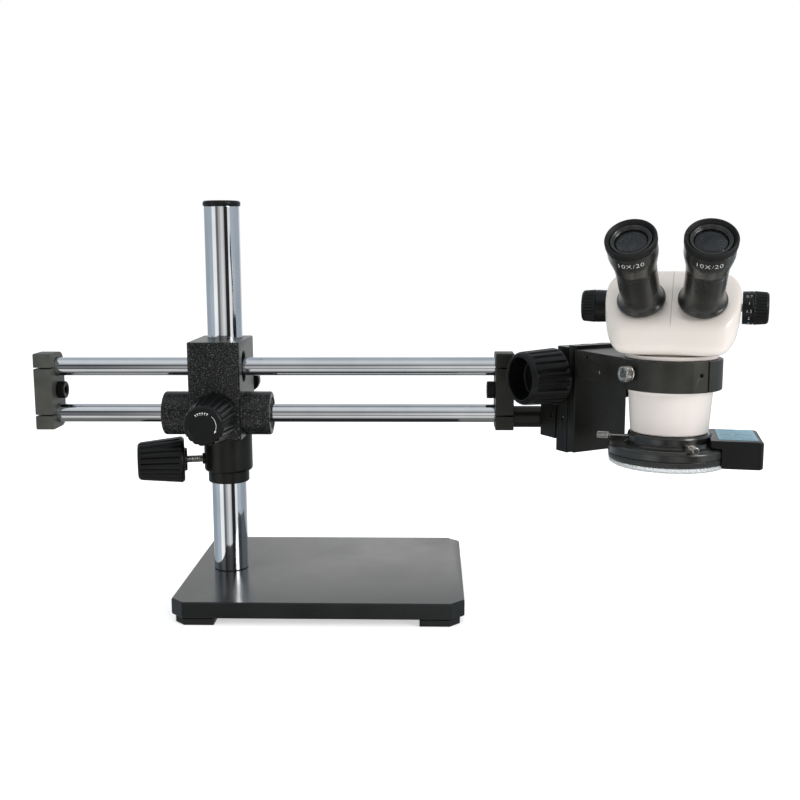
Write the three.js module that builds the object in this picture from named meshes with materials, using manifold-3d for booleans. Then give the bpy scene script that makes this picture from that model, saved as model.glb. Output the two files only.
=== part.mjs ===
// Zoom stereo microscope on a double-rod ball-bearing boom stand.
// Millimetres, +Z up. The boom runs along X, the user sits at -Y.
import * as THREE from 'three'
import { mergeVertices } from 'three/addons/utils/BufferGeometryUtils.js'
import Module from 'manifold-3d'

const wasm = await Module()
wasm.setup()

// ---- driving dimensions ------------------------------------------------------------
const gap = 0.3                       // clearance between neighbouring pieces

const base = { width: 255, depth: 205, thick: 14.5, chamfer: 11.5, footDrop: 6 }
const foot = { side: 35, inset: 4, cut: 9 }
const baseTop = base.footDrop + base.thick

const pole = { x: -91.75, r: 16, top: 358.5 }
const cap = { r: 17.1, height: 5, plug: 12, plugR: 9 }
const poleBolt = { r: 5, headR: 9, headLow: 8, length: 24 }

const collar = { r: 22.4, stepR: 19, low: 104.8, step: 116, high: 151.6, screwZ: 126.7, turn: 14 }
const knob = { outerR: 17.4, innerR: 21.6, length: 42.3 }
const collarScrew = { r: 3.4, start: 17.5, reach: 40.5 }

const rod = { r: 8.25, y: -28.3, upper: 215.9, lower: 173.5 }
const block = { left: -116.3, right: -70.2, front: -52, back: 29, low: 152, high: 239.5, round: 5 }
const boss = { r: 19.65, left: -142.4, right: -45.2 }
const bearing = { r: 14, length: 30 }
const passage = { width: 20, height: 28, wall: 1.2 }
const lock = { x: -93.2, z: 173.4, y: -56.6, studR: 4, studIn: 15.5 }
const rearKnob = { x: -78, z: 195, r: 11.5, length: 11, studR: 3, studIn: 12, standOff: 3 }

const boom = { left: -255.6, right: 171.4, endThick: 16, low: 160.5, high: 228.9, front: -45.3, back: -11.3 }
const endScrew = { z: 194.7, headR: 7.7, head: 7.2, r: 4.6, hex: 3.9, depth: 4 }

const pin = { z: 170.5, seatR: 7.8, r: 9.6, spigotR: 5, seat: 8 }
const hub = { x: 211, r: 11, low: 162, high: 178.5, boltR: 3, boltHeadR: 5 }

// The head's turning axis; the focus mount is swung about Z from the boom by mountAngle.
const head = { x: 285.6, y: -142, angle: -15.5 }
const mountAngle = 30
const slide = { near: 84, far: 93.6, half: 28, low: 148.3, high: 239.4, tongue: 97.2, tongueHalf: 13 }
const focusBlock = { near: 94, far: 110.2, half: 28.2, low: 146.7, high: 237.6 }
const focusAxis = { y: 102.4, z: 212.6, r: 3.6, pinionR: 4.3, teeth: 12 }
const rack = { half: 4.6, near: 95, far: 97.8, low: 160, high: 236, pitch: 3.8, tooth: 0.9 }
const focusKnob = { start: 34, end: 72, r: 24, endR: 22.2, recessR: 16.5, recess: 17 }
const bracket = { left: -28.2, right: 13, near: 110.5, wall: 124.6, cheek: 132, low: 156.5, high: 186.5 }
const holder = { r: 38.9, bore: 34, low: 212.8, high: 236.5, slit: 1.4 }
const ringScrew = { z: 226, r: 1.9, headR: 6, headStart: 41.5, headEnd: 49 }

// Head, in its own frame: x to the user's right, y away from the user.
const shell = {
  half: 50.6, front: -40, back: 34, low: 240.2, sideLow: 264, crease: 264.5, high: 302,
  wall: 3.2, corner: 14
}
const neck = { r: 33.6, lipR: 35.4, lip: 236.9, high: 239.8, shoulder: 210, coneTopR: 32.3, coneLow: 178.3, coneLowR: 30.2, spoutR: 26, low: 168.4, wall: 3.4 }
const lens = { r: 20, low: 170, thick: 6 }
const tube = { x: 22.1, y: -24.3, z: 280.2, splay: 4.7, tilt: 45, r: 15, flangeR: 18, flange: 4, end: 36.5, inner: 12.4 }
const eyepiece = { start: 37, r: 15.2, cone: 40, coneEnd: 52.5, topR: 18.1, end: 62, sleeveR: 12, sleeveIn: 14, bore: 10 }
const eyecup = { r: 18.8, end: 69, lip: 16.2, seatR: 14.9 }
const eyeLens = { r: 14.5, crown: 2.4 }
const zoom = { y: 3, z: 275.3, r: 12.75, endR: 12, start: 50.95, end: 70.3, shaftR: 3 }
const carriage = { r: 27, thick: 7, z: 226, holeR: 9, holeX: 12 }

// Ring light under the objective.
const light = {
  bore: 29, collarR: 31.8, r: 46.9, low: 157.3, shoulder: 169.4, high: 177.8, chamfer: 3,
  pocketIn: 31, pocketOut: 45.2, pocketTop: 165
}
const diffuser = { inner: 31.3, outer: 44.9, lip: 46.2, low: 152.9, lipTop: 157, top: 160 }
const ledBoard = { inner: 31.5, outer: 44.7, low: 160.6, thick: 1.6 }
const adaptor = { inner: 26.3, r: 28.6, low: 167, high: 178 }
const box = { angle: -11, end: 69, half: 28, low: 154.8, high: 176.3, round: 5 }
const inlet = { along: 57, r: 4.2, length: 5, z: 165, hole: 1.6 }
const lightScrew = { z: 172.6, angles: [165, 278, 45], tip: 29.2, r: 1.3, head: 46.5, end: 56, headR: 2.8 }

// ---- materials ---------------------------------------------------------------------
const finish = (color, roughness, metalness) => ({ color, roughness, metalness })
const enamelBlack = finish(0x2b2d2b, 0.3, 0.1)
const hammerBlack = finish(0x1d1e1d, 0.35, 0.3)
const chrome = finish(0xe4e6ea, 0.08, 1)
const knobPlastic = finish(0x1b1b1b, 0.5, 0)
const anodised = finish(0x242424, 0.4, 0.6)
const steel = finish(0xb8b8b6, 0.3, 1)
const bearingSteel = finish(0xa2a4a8, 0.25, 1)
const nylon = finish(0xd8d4c6, 0.5, 0)
const rubber = finish(0x161616, 0.85, 0)
const enamelWhite = finish(0xe4ded6, 0.3, 0)
const glass = finish(0x9fb4b8, 0.05, 0)
const clearPlastic = finish(0xe8ecec, 0.1, 0)
const boardWhite = finish(0xf0f0ea, 0.6, 0)
const brass = finish(0xb89a5a, 0.3, 1)

// ---- helpers -----------------------------------------------------------------------
const rad = THREE.MathUtils.degToRad
const v2 = (x, y) => new THREE.Vector2(x, y)

// A closed geometry as a solid: shared corners merged, slivers dropped, faces out.
function toSolid(geometry) {
  const bare = new THREE.BufferGeometry()
  bare.setAttribute('position', geometry.getAttribute('position').clone())
  if (geometry.index) bare.setIndex(geometry.index.clone())
  const merged = mergeVertices(bare, 1e-4)
  const corners = []
  const index = merged.index.array
  for (let i = 0; i < index.length; i += 3) {
    const [a, b, c] = [index[i], index[i + 1], index[i + 2]]
    if (a !== b && b !== c && c !== a) corners.push(a, b, c)
  }
  const vertProperties = new Float32Array(merged.getAttribute('position').array)
  const triVerts = new Uint32Array(volume(vertProperties, corners) < 0 ? flip(corners) : corners)
  return new wasm.Manifold(new wasm.Mesh({ numProp: 3, vertProperties, triVerts }))
}

function volume(p, corners) {
  let sum = 0
  const [a, b, c] = [new THREE.Vector3(), new THREE.Vector3(), new THREE.Vector3()]
  for (let i = 0; i < corners.length; i += 3) {
    a.fromArray(p, corners[i] * 3)
    b.fromArray(p, corners[i + 1] * 3)
    c.fromArray(p, corners[i + 2] * 3)
    sum += a.dot(b.cross(c))
  }
  return sum
}

function flip(corners) {
  const out = []
  for (let i = 0; i < corners.length; i += 3) out.push(corners[i], corners[i + 2], corners[i + 1])
  return out
}

function fromSolid(solid) {
  const mesh = solid.getMesh()
  const geometry = new THREE.BufferGeometry()
  geometry.setAttribute('position', new THREE.BufferAttribute(new Float32Array(mesh.vertProperties), 3))
  geometry.setIndex(new THREE.BufferAttribute(new Uint32Array(mesh.triVerts), 1))
  return geometry
}

const cut = (body, ...tools) =>
  fromSolid(tools.reduce((solid, tool) => solid.subtract(toSolid(tool)), toSolid(body)))
const join = (...pieces) =>
  fromSolid(pieces.slice(1).reduce((solid, piece) => solid.add(toSolid(piece)), toSolid(pieces[0])))
const common = (...pieces) =>
  fromSolid(pieces.slice(1).reduce((solid, piece) => solid.intersect(toSolid(piece)), toSolid(pieces[0])))

// A box between two corners.
function brick(x0, x1, y0, y1, z0, z1) {
  const g = new THREE.BoxGeometry(x1 - x0, y1 - y0, z1 - z0)
  return g.translate((x0 + x1) / 2, (y0 + y1) / 2, (z0 + z1) / 2)
}

// Turned pieces: the profile is a list of [radius, height] from the axis back to the axis.
function turned(profile, segments = 24) {
  const g = new THREE.LatheGeometry(profile.map(([r, h]) => v2(r, h)), segments)
  return g.rotateX(Math.PI / 2)
}

const disc = (r, z0, z1, segments = 24) => turned([[0, z0], [r, z0], [r, z1], [0, z1]], segments)
const ring = (inner, outer, z0, z1, segments = 24) =>
  turned([[inner, z0], [outer, z0], [outer, z1], [inner, z1], [inner, z0]], segments)

// The same turned about an axis along +X or +Y instead of +Z.
const alongX = (g) => g.rotateY(Math.PI / 2)
const alongY = (g) => g.rotateX(-Math.PI / 2)

// An outline of points, with a radius on each corner, extruded from z0 to z1.
function roundedOutline(points, radii, steps = 5) {
  const out = []
  points.forEach((point, i) => {
    const r = Array.isArray(radii) ? radii[i] : radii
    const here = v2(...point)
    if (!r) return out.push(here)
    const before = v2(...points[(i + points.length - 1) % points.length]).sub(here)
    const after = v2(...points[(i + 1) % points.length]).sub(here)
    const start = here.clone().add(before.setLength(r))
    const end = here.clone().add(after.setLength(r))
    out.push(...new THREE.QuadraticBezierCurve(start, here, end).getPoints(steps))
  })
  return new THREE.Shape(out)
}

function plateFrom(shape, z0, z1, curveSegments = 24) {
  const g = new THREE.ExtrudeGeometry(shape, { depth: z1 - z0, bevelEnabled: false, curveSegments })
  return g.translate(0, 0, z0)
}

const rectangle = (x0, x1, y0, y1) => [[x0, y0], [x1, y0], [x1, y1], [x0, y1]]

const model = new THREE.Group()

function add(parent, name, geometry, look) {
  const mesh = new THREE.Mesh(geometry, new THREE.MeshStandardMaterial(look))
  mesh.name = name
  parent.add(mesh)
  return mesh
}

// ---- base, feet and pole -----------------------------------------------------------
function makeBase() {
  const [w, d, c] = [base.width / 2, base.depth / 2, base.chamfer]
  const outline = [
    [-w + c, -d], [w - c, -d], [w, -d + c], [w, d - c],
    [w - c, d], [-w + c, d], [-w, d - c], [-w, -d + c]
  ]
  const edge = 0.8
  const shape = new THREE.Shape(outline.map(([x, y]) => v2(x, y)))
  const plate = new THREE.ExtrudeGeometry(shape, {
    depth: base.thick - 2 * edge, bevelThickness: edge, bevelSize: edge, bevelOffset: -edge, bevelSegments: 1
  })
  plate.translate(0, 0, base.footDrop + edge)
  const boltHole = disc(poleBolt.r + gap, 0, baseTop + 1, 24).translate(pole.x, 0, 0)
  const headHole = disc(poleBolt.headR + gap, 0, poleBolt.headLow + 8, 24).translate(pole.x, 0, 0)
  add(model, 'base_plate', cut(plate, boltHole, headHole), enamelBlack)

  for (const [name, sx, sy] of [
    ['foot_front_left', -1, -1], ['foot_front_right', 1, -1], ['foot_rear_left', -1, 1], ['foot_rear_right', 1, 1]
  ]) {
    const x = w - foot.inset
    const y = d - 0.5
    const points = [
      [x - foot.side, y - foot.side], [x, y - foot.side], [x, y - foot.cut], [x - foot.cut, y], [x - foot.side, y]
    ]
    const shapeHere = new THREE.Shape(points.map(([px, py]) => v2(sx * px, sy * py)))
    add(model, name, fromSolid(toSolid(plateFrom(shapeHere, 0, base.footDrop - gap))), rubber)
  }

  const shaft = disc(pole.r, baseTop + gap, pole.top, 32)
  const socket = disc(cap.plugR + gap, pole.top - cap.plug - 2, pole.top + 1, 24)
  const thread = disc(poleBolt.r + gap, baseTop - 1, baseTop + poleBolt.length, 24)
  add(model, 'pole', cut(shaft, socket, thread), chrome).position.x = pole.x

  const capProfile = [
    [0, pole.top - cap.plug], [cap.plugR, pole.top - cap.plug], [cap.plugR, pole.top + gap],
    [cap.r, pole.top + gap], [cap.r, pole.top + cap.height - 1.2], [cap.r - 1.2, pole.top + cap.height],
    [0, pole.top + cap.height]
  ]
  add(model, 'pole_cap', turned(capProfile, 32), knobPlastic).position.x = pole.x

  const boltProfile = [
    [0, poleBolt.headLow], [poleBolt.headR, poleBolt.headLow], [poleBolt.headR, poleBolt.headLow + 7],
    [poleBolt.r, poleBolt.headLow + 7], [poleBolt.r, baseTop + poleBolt.length - 1], [0, baseTop + poleBolt.length - 1]
  ]
  const hex = disc(4.6, poleBolt.headLow - 1, poleBolt.headLow + 4.5, 6)
  add(model, 'pole_bolt', cut(turned(boltProfile, 24), hex), steel).position.x = pole.x
}

// ---- hand knobs --------------------------------------------------------------------
// A tapered plastic knob: the outer end is at height 0, the larger inner end at its length.
function handKnob(stud) {
  const { outerR, innerR, length } = knob
  const rAt = (h) => outerR + ((innerR - outerR) * h) / length
  const profile = [
    [0, 0], [outerR - 1.5, 0], [outerR, 1.6], [rAt(length - 5), length - 5], [innerR, length - 2],
    [innerR - 2, length],
    [10, length], [10, length + 2.6], [0, length + 2.6]
  ]
  const body = turned(profile, 32)
  return stud ? cut(body, stud) : body
}

// ---- safety collar -----------------------------------------------------------------
function makeCollar() {
  const profile = [
    [pole.r + gap, collar.low], [collar.stepR, collar.low], [collar.stepR, collar.step], [collar.r, collar.step],
    [collar.r, collar.high - 1], [collar.r - 1, collar.high], [pole.r + gap, collar.high], [pole.r + gap, collar.low]
  ]
  const aside = (g) => g.rotateZ(rad(collar.turn))
  const hole = aside(alongX(disc(collarScrew.r + gap, -40, 0, 20)).translate(0, 0, collar.screwZ))
  add(model, 'safety_collar', cut(turned(profile, 28), hole), anodised).position.x = pole.x

  const socket = disc(collarScrew.r + gap, knob.length - 12, knob.length + 5, 20)
  const place = (g) =>
    aside(alongX(g).translate(-collarScrew.reach - knob.length, 0, collar.screwZ)).translate(pole.x, 0, 0)
  add(model, 'collar_knob', place(handKnob(socket)), knobPlastic)
  const screw = aside(alongX(disc(collarScrew.r, -collarScrew.reach - 11, -collarScrew.start, 20)))
  add(model, 'collar_screw', screw.translate(pole.x, 0, collar.screwZ), steel)
}

// ---- boom block and its bearings ---------------------------------------------------
function makeBlock() {
  const { left, right, front, back, low, high, round } = block
  const plan = roundedOutline(rectangle(left, right, front, back), [3, 3, 6, 6], 3)
  const body = plateFrom(plan, low, high)
  const corners = [[front, low], [back, low], [back, high], [front, high]]
  const sides = roundedOutline(corners, [2.5, round, round + 3, 2.5], 3)
  const profile = new THREE.ExtrudeGeometry(sides, { depth: right - left, bevelEnabled: false })
  profile.rotateX(Math.PI / 2).rotateZ(Math.PI / 2).translate(left, 0, 0)
  const bosses = alongX(turned([
    [0, boss.left], [boss.r - 1, boss.left], [boss.r, boss.left + 1], [boss.r, boss.right - 1], [boss.r - 1, boss.right], [0, boss.right]
  ], 32)).translate(0, rod.y, rod.lower)

  const poleBore = disc(pole.r + gap, low - 1, high + 1, 32).translate(pole.x, 0, 0)
  const rodBore = alongX(disc(rod.r + 1.6, boss.left - 1, boss.right + 1, 28)).translate(0, rod.y, rod.lower)
  const bearingBore = (x0, x1) => alongX(disc(bearing.r + gap, x0, x1, 32)).translate(0, rod.y, rod.lower)
  const half = passage.width / 2
  const upperPassage = slotAlongX(half, passage.height / 2, left - 1, right + 1)
  const lockHole = alongY(disc(lock.studR + gap, front - 1, rod.y, 20)).translate(lock.x, 0, lock.z)
  const rearHole = alongY(disc(rearKnob.studR + gap, pole.r - 4, back + 1, 20)).translate(rearKnob.x, 0, rearKnob.z)

  const casting = cut(
    join(common(body, profile), bosses), poleBore, rodBore, bearingBore(boss.left - 1, boss.left + 3 + bearing.length),
    bearingBore(boss.right - 3 - bearing.length, boss.right + 1), upperPassage, lockHole, rearHole
  )
  add(model, 'boom_block', casting, hammerBlack)

  for (const [name, x0] of [
    ['bearing_left', boss.left + 2.5], ['bearing_right', boss.right - 2.5 - bearing.length]
  ]) {
    const sleeve = alongX(ring(rod.r + gap, bearing.r, x0, x0 + bearing.length, 32)).translate(0, rod.y, rod.lower)
    add(model, name, fromSolid(toSolid(sleeve)), bearingSteel)
  }

  const inset = 1
  const liner = cut(
    slotAlongX(half - gap, passage.height / 2 - gap, left + inset, right - inset),
    slotAlongX(half - passage.wall, passage.height / 2 - passage.wall, left - 2, right + 2)
  )
  add(model, 'guide_liner', liner, nylon)
}

// An upright slot with round ends, swept along X round the upper rod.
function slotAlongX(halfWidth, halfHeight, x0, x1) {
  const shape = new THREE.Shape()
  const straight = halfHeight - halfWidth
  shape.moveTo(halfWidth, -straight)
  shape.lineTo(halfWidth, straight)
  shape.absarc(0, straight, halfWidth, 0, Math.PI)
  shape.lineTo(-halfWidth, -straight)
  shape.absarc(0, -straight, halfWidth, Math.PI, 2 * Math.PI)
  const g = new THREE.ExtrudeGeometry(shape, { depth: x1 - x0, bevelEnabled: false, curveSegments: 8 })
  return g.rotateX(Math.PI / 2).rotateZ(Math.PI / 2).translate(x0, rod.y, rod.upper)
}

function makeBlockKnobs() {
  const studded = join(handKnob(), disc(lock.studR, knob.length, knob.length + lock.studIn, 20))
  add(model, 'lock_knob', alongY(studded).translate(lock.x, lock.y - knob.length, lock.z), knobPlastic)

  const { r, length, studR, studIn, standOff } = rearKnob
  const profile = [
    [0, -studIn], [studR, -studIn], [studR, gap], [studR + 2.5, gap], [studR + 2.5, standOff], [r - 1, standOff],
    [r, standOff + 1], [r, standOff + length - 1.2], [r - 1.2, standOff + length], [0, standOff + length]
  ]
  add(model, 'rear_knob', alongY(turned(profile, 24)).translate(rearKnob.x, block.back, rearKnob.z), knobPlastic)
}

// ---- boom rods and end blocks ------------------------------------------------------
function makeBoom() {
  const leftEnd = boom.left + 4
  const rightEnd = boom.right - boom.endThick + 7
  for (const [name, z] of [['upper_rod', rod.upper], ['lower_rod', rod.lower]]) {
    add(model, name, alongX(disc(rod.r, leftEnd, rightEnd, 28)).translate(0, rod.y, z), chrome)
  }
  add(model, 'end_block_left', endBlock(boom.left, leftEnd - gap, boom.left + boom.endThick + 1), anodised)
  const rightBlock = endBlock(boom.right - boom.endThick, boom.right - boom.endThick - 1, rightEnd + gap)
  const pinBore = alongX(disc(pin.seatR + gap, boom.right - pin.seat - gap, boom.right + 1, 32)).translate(0, rod.y, pin.z)
  add(model, 'end_block_right', cut(rightBlock, pinBore), anodised)

  for (const [name, face, sign] of [
    ['end_screw_left', boom.left + boom.endThick, 1], ['end_screw_right', boom.right - boom.endThick, -1]
  ]) {
    const { headR, head: headLength, r, hex, depth } = endScrew
    const screw = cut(
      turned([
        [0, -10], [r, -10], [r, gap], [headR, gap], [headR, headLength - 0.8], [headR - 0.8, headLength], [0, headLength]
      ], 24),
      disc(hex, headLength - depth, headLength + 1, 6)
    )
    const turn = sign > 0 ? alongX(screw) : alongX(screw).rotateZ(Math.PI)
    add(model, name, turn.translate(face, rod.y, endScrew.z), steel)
  }
}

// A clamp block with round back corners, two rod bores, their saw cuts and a screw hole.
function endBlock(x0, boreFrom, boreTo) {
  const { low, high, front, back, endThick } = boom
  const outline = roundedOutline([[front, low], [back, low], [back, high], [front, high]], [2, 12, 12, 2], 5)
  const g = new THREE.ExtrudeGeometry(outline, { depth: endThick, bevelEnabled: false })
  g.rotateX(Math.PI / 2).rotateZ(Math.PI / 2).translate(x0, 0, 0)
  const bores = [rod.upper, rod.lower].map((z) =>
    alongX(disc(rod.r + gap, boreFrom, boreTo, 32)).translate(0, rod.y, z))
  const cuts = [rod.upper, rod.lower].map((z) =>
    brick(x0 - 1, x0 + endThick + 1, front - 1, rod.y, z - 0.6, z + 0.6))
  const screwHole = alongX(disc(endScrew.r + gap, x0 - 1, x0 + endThick + 1, 24)).translate(0, rod.y, endScrew.z)
  return cut(g, ...bores, ...cuts, screwHole)
}

// ---- boom-end pin and swivel hub ---------------------------------------------------
function makeKnuckle() {
  const shoulder = hub.x - hub.r - gap
  const profile = [
    [0, boom.right - pin.seat], [pin.seatR, boom.right - pin.seat], [pin.seatR, boom.right + gap],
    [pin.r, boom.right + gap], [pin.r, shoulder - 0.8], [pin.r - 0.8, shoulder],
    [pin.spigotR, shoulder], [pin.spigotR, hub.x - hub.boltR - 1.2], [0, hub.x - hub.boltR - 1.2]
  ]
  add(model, 'boom_end_pin', alongX(turned(profile, 36)).translate(0, rod.y, pin.z), anodised)

  const body = disc(hub.r, hub.low, hub.high, 36).translate(hub.x, rod.y, 0)
  const spigotBore = alongX(disc(pin.spigotR + gap, hub.x - hub.r - 2, hub.x - hub.boltR - 0.6, 24)).translate(0, rod.y, pin.z)
  const boltBore = disc(hub.boltR + gap, hub.low - 1, hub.high + 1, 24).translate(hub.x, rod.y, 0)
  add(model, 'swivel_hub', cut(body, spigotBore, boltBore), anodised)
}

// ---- focus mount: its own frame has x along the knob shaft and y away from the head ---
const mount = new THREE.Group()
mount.position.set(head.x, head.y, 0)
mount.rotation.z = rad(mountAngle)
model.add(mount)

const hubInMount = v2(hub.x - head.x, rod.y - head.y).rotateAround(v2(0, 0), -rad(mountAngle))

function makeBracket() {
  const { left, right, near, wall, cheek, low, high } = bracket
  const lug = join(
    brick(hubInMount.x - hub.r, hubInMount.x + hub.r, wall - 1, hubInMount.y, low, high),
    disc(hub.r, low, high, 32).translate(hubInMount.x, hubInMount.y, 0)
  )
  const slot = brick(left + 4, right + 1, wall, 160, hub.low - gap, hub.high + gap)
  const boltBore = disc(hub.boltR + gap, low - 1, high + 1, 24).translate(hubInMount.x, hubInMount.y, 0)
  const body = join(brick(left, right, near, wall + 0.5, low, high), brick(left, left + 3.7, near, cheek, low, high), lug)
  const sideHole = alongX(disc(2, left - 1, left + 9, 16)).translate(0, 117, 176.5)
  add(mount, 'mount_bracket', cut(body, slot, boltBore, sideHole), anodised)

  const { boltR, boltHeadR } = hub
  const bolt = cut(
    turned([
      [0, low + 1], [boltR, low + 1], [boltR, high + gap], [boltHeadR, high + gap],
      [boltHeadR, high + 5], [0, high + 5]
    ], 24),
    disc(2.6, high + 2, high + 6, 6)
  )
  add(mount, 'swivel_bolt', bolt.translate(hubInMount.x, hubInMount.y, 0), steel)
}

function dovetail(halfWidth, y0, y1, z0, z1) {
  const lean = 2
  const shape = new THREE.Shape([v2(-halfWidth + lean, y0), v2(halfWidth - lean, y0), v2(halfWidth, y1), v2(-halfWidth, y1)])
  return plateFrom(shape, z0, z1)
}

function makeFocus() {
  const b = focusBlock
  const body = plateFrom(roundedOutline(rectangle(-b.half, b.half, b.near, b.far), [0, 0, 3, 3], 3), b.low, b.high)
  const groove = dovetail(slide.tongueHalf + gap, b.near - 1, slide.tongue + gap, b.low - 1, b.high + 1)
  const rackRoom = brick(-rack.half - gap, rack.half + gap, b.near - 1, rack.far + 0.5, b.low - 1, b.high + 1)
  const shaftBore = alongX(disc(focusAxis.r + gap, -b.half - 1, b.half + 1, 24)).translate(0, focusAxis.y, focusAxis.z)
  const pinionRoom = alongX(disc(focusAxis.pinionR + 0.6, -rack.half - gap - 1, rack.half + gap + 1, 24))
    .translate(0, focusAxis.y, focusAxis.z)
  const sideHole = alongX(disc(1.6, -b.half - 1, -b.half + 8, 16)).translate(0, 100.5, 176.5)
  add(mount, 'focus_block', cut(body, groove, rackRoom, shaftBore, pinionRoom, sideHole), anodised)

  const shaftSpan = focusKnob.end - focusKnob.recess - 8
  const teeth = new THREE.Shape()
  for (let i = 0; i < focusAxis.teeth; i++) {
    for (const [part, r] of [[-0.32, -0.9], [-0.16, 0], [0.16, 0], [0.32, -0.9]]) {
      const a = ((i + part) / focusAxis.teeth) * 2 * Math.PI
      const x = (focusAxis.pinionR + r) * Math.cos(a)
      const y = (focusAxis.pinionR + r) * Math.sin(a)
      if (i === 0 && part === -0.32) teeth.moveTo(x, y)
      else teeth.lineTo(x, y)
    }
  }
  const pinion = plateFrom(teeth, -rack.half, rack.half)
  const shaft = alongX(join(disc(focusAxis.r - 0.2, -shaftSpan, shaftSpan, 20), pinion))
  add(mount, 'focus_shaft', shaft.translate(0, focusAxis.y, focusAxis.z), steel)

  for (const [name, sign] of [['focus_knob_left', -1], ['focus_knob_right', 1]]) {
    const k = focusKnob
    const rAt = (h) => k.r + ((k.endR - k.r) * (h - k.start)) / (k.end - k.start)
    const profile = [
      [0, k.start + 2], [9, k.start + 2], [9, k.start - 2.6], [15, k.start - 2.6], [15, k.start], [k.r - 1.5, k.start],
      [k.r, k.start + 1.5], [rAt(k.start + 3), k.start + 3], [rAt(k.end - 5), k.end - 5], [k.endR - 2.4, k.end],
      [k.recessR + 1, k.end], [k.recessR - 1, k.end - k.recess], [0, k.end - k.recess]
    ]
    const outer = turned(profile, 36)
    const bore = disc(focusAxis.r + 0.1, k.start - 5, shaftSpan + gap, 20)
    const knobHere = cut(outer, bore)
    const turn = sign > 0 ? alongX(knobHere) : alongX(knobHere).rotateZ(Math.PI)
    add(mount, name, turn.translate(0, focusAxis.y, focusAxis.z), knobPlastic)
  }

  const s = slide
  const plate = plateFrom(roundedOutline(rectangle(-s.half, s.half, s.near, s.far), [1, 1, 0, 0], 2), s.low, s.high)
  const tongue = dovetail(s.tongueHalf, s.far - 0.5, s.tongue, s.low, s.high)
  const rackSlot = brick(-rack.half - gap, rack.half + gap, rack.near - gap, 100, s.low - 1, s.high + 1)
  add(mount, 'slide_plate', cut(join(plate, tongue), rackSlot), anodised)

  const grooves = []
  for (let z = rack.low + rack.pitch; z < rack.high - 1; z += rack.pitch) {
    const notch = new THREE.Shape([
      v2(rack.far + 0.2, z - 0.95), v2(rack.far + 0.2, z + 0.95), v2(rack.far - rack.tooth, z + 0.4), v2(rack.far - rack.tooth, z - 0.4)
    ])
    const g = new THREE.ExtrudeGeometry(notch, { depth: 2 * rack.half + 2, bevelEnabled: false })
    grooves.push(g.rotateX(Math.PI / 2).rotateZ(Math.PI / 2).translate(-rack.half - 1, 0, 0))
  }
  const bar = brick(-rack.half, rack.half, rack.near, rack.far, rack.low, rack.high)
  add(mount, 'focus_rack', cut(bar, ...grooves), brass)
}

function makeHolder() {
  const { r, bore, low, high, slit } = holder
  const reach = slide.near - gap
  const arm = new THREE.Shape([v2(-slide.half, reach), v2(-35.6, 15.7), v2(35.6, 15.7), v2(slide.half, reach)])
  const body = join(disc(r, low, high, 40), plateFrom(arm, low, high))
  const hole = disc(bore, low - 1, high + 1, 40)
  const screwHole = alongX(disc(ringScrew.r + gap, -50, 0, 20)).translate(0, 0, ringScrew.z)
  const tipHole = alongY(disc(1.5, -r - 1, -r + 3, 16)).translate(-5, 0, ringScrew.z)
  const sideHole = alongX(disc(1.6, -40, -24, 16)).translate(0, 67, 232)
  const setHole = alongX(disc(2.2, -40, -27, 16)).translate(0, 49, 221)
  const gapCut = brick(-slit / 2 + 2, slit / 2 + 2, -r - 1, 0, low - 1, high + 1)
  add(mount, 'holder_arm', cut(body, hole, gapCut, screwHole, tipHole, sideHole, setHole), anodised)

  const { headR, headStart, headEnd } = ringScrew
  const profile = [
    [0, bore + 0.3], [ringScrew.r, bore + 0.3], [ringScrew.r, headStart], [headR, headStart],
    [headR, headEnd - 0.6], [headR - 0.6, headEnd], [0, headEnd]
  ]
  add(mount, 'ring_screw', alongX(turned(profile, 24)).rotateZ(Math.PI).translate(0, 0, ringScrew.z), steel)
}

// ---- microscope head ---------------------------------------------------------------
const scope = new THREE.Group()
scope.position.set(head.x, head.y, 0)
scope.rotation.z = rad(head.angle)
model.add(scope)

// The outer form: front outline, side outline and plan outline, each extruded and intersected.
function headForm(inset) {
  const half = shell.half - inset
  const [front, back] = [shell.front + inset, shell.back - inset]
  const [low, high] = [shell.low + inset, shell.high - inset]
  const slope = inset * Math.tan(Math.PI / 8)
  const crease = shell.crease + slope
  const rise = shell.high - inset - crease
  const frontShape = roundedOutline(
    [
      [inset - 31, low], [31 - inset, low], [42.5 - inset, low + 3], [half, shell.sideLow], [half, high],
      [-half, high], [-half, shell.sideLow], [inset - 42.5, low + 3]
    ],
    [5, 5, 5.5, 8, 16, 16, 8, 5.5], 3
  )
  const sideShape = roundedOutline(
    [[front, low], [back, low], [back, high], [front + rise, high], [front, crease]], [12, 14, 14, 5, 5], 3
  )
  const planShape = roundedOutline(
    [[-half, front], [half, front], [half, back], [-half, back]], [shell.corner, shell.corner, 30, 30], 4
  )
  const frontSolid = new THREE.ExtrudeGeometry(frontShape, { depth: back - front + 4, bevelEnabled: false })
  frontSolid.rotateX(Math.PI / 2).translate(0, back + 2, 0)
  const sideSolid = new THREE.ExtrudeGeometry(sideShape, { depth: 2 * half + 4, bevelEnabled: false })
  sideSolid.rotateX(Math.PI / 2).rotateZ(Math.PI / 2).translate(-half - 2, 0, 0)
  return common(frontSolid, sideSolid, plateFrom(planShape, low - 2, high + 2))
}

// Puts a turned piece on an eyepiece axis; side is -1 for the left tube, 1 for the right.
function onTube(geometry, side, splay = tube.splay) {
  return geometry.rotateX(rad(tube.tilt))
    .applyMatrix4(new THREE.Matrix4().makeRotationAxis(new THREE.Vector3(0, 1, 1).normalize(), side * rad(splay)))
    .translate(side * tube.x, tube.y, tube.z)
}

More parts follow.
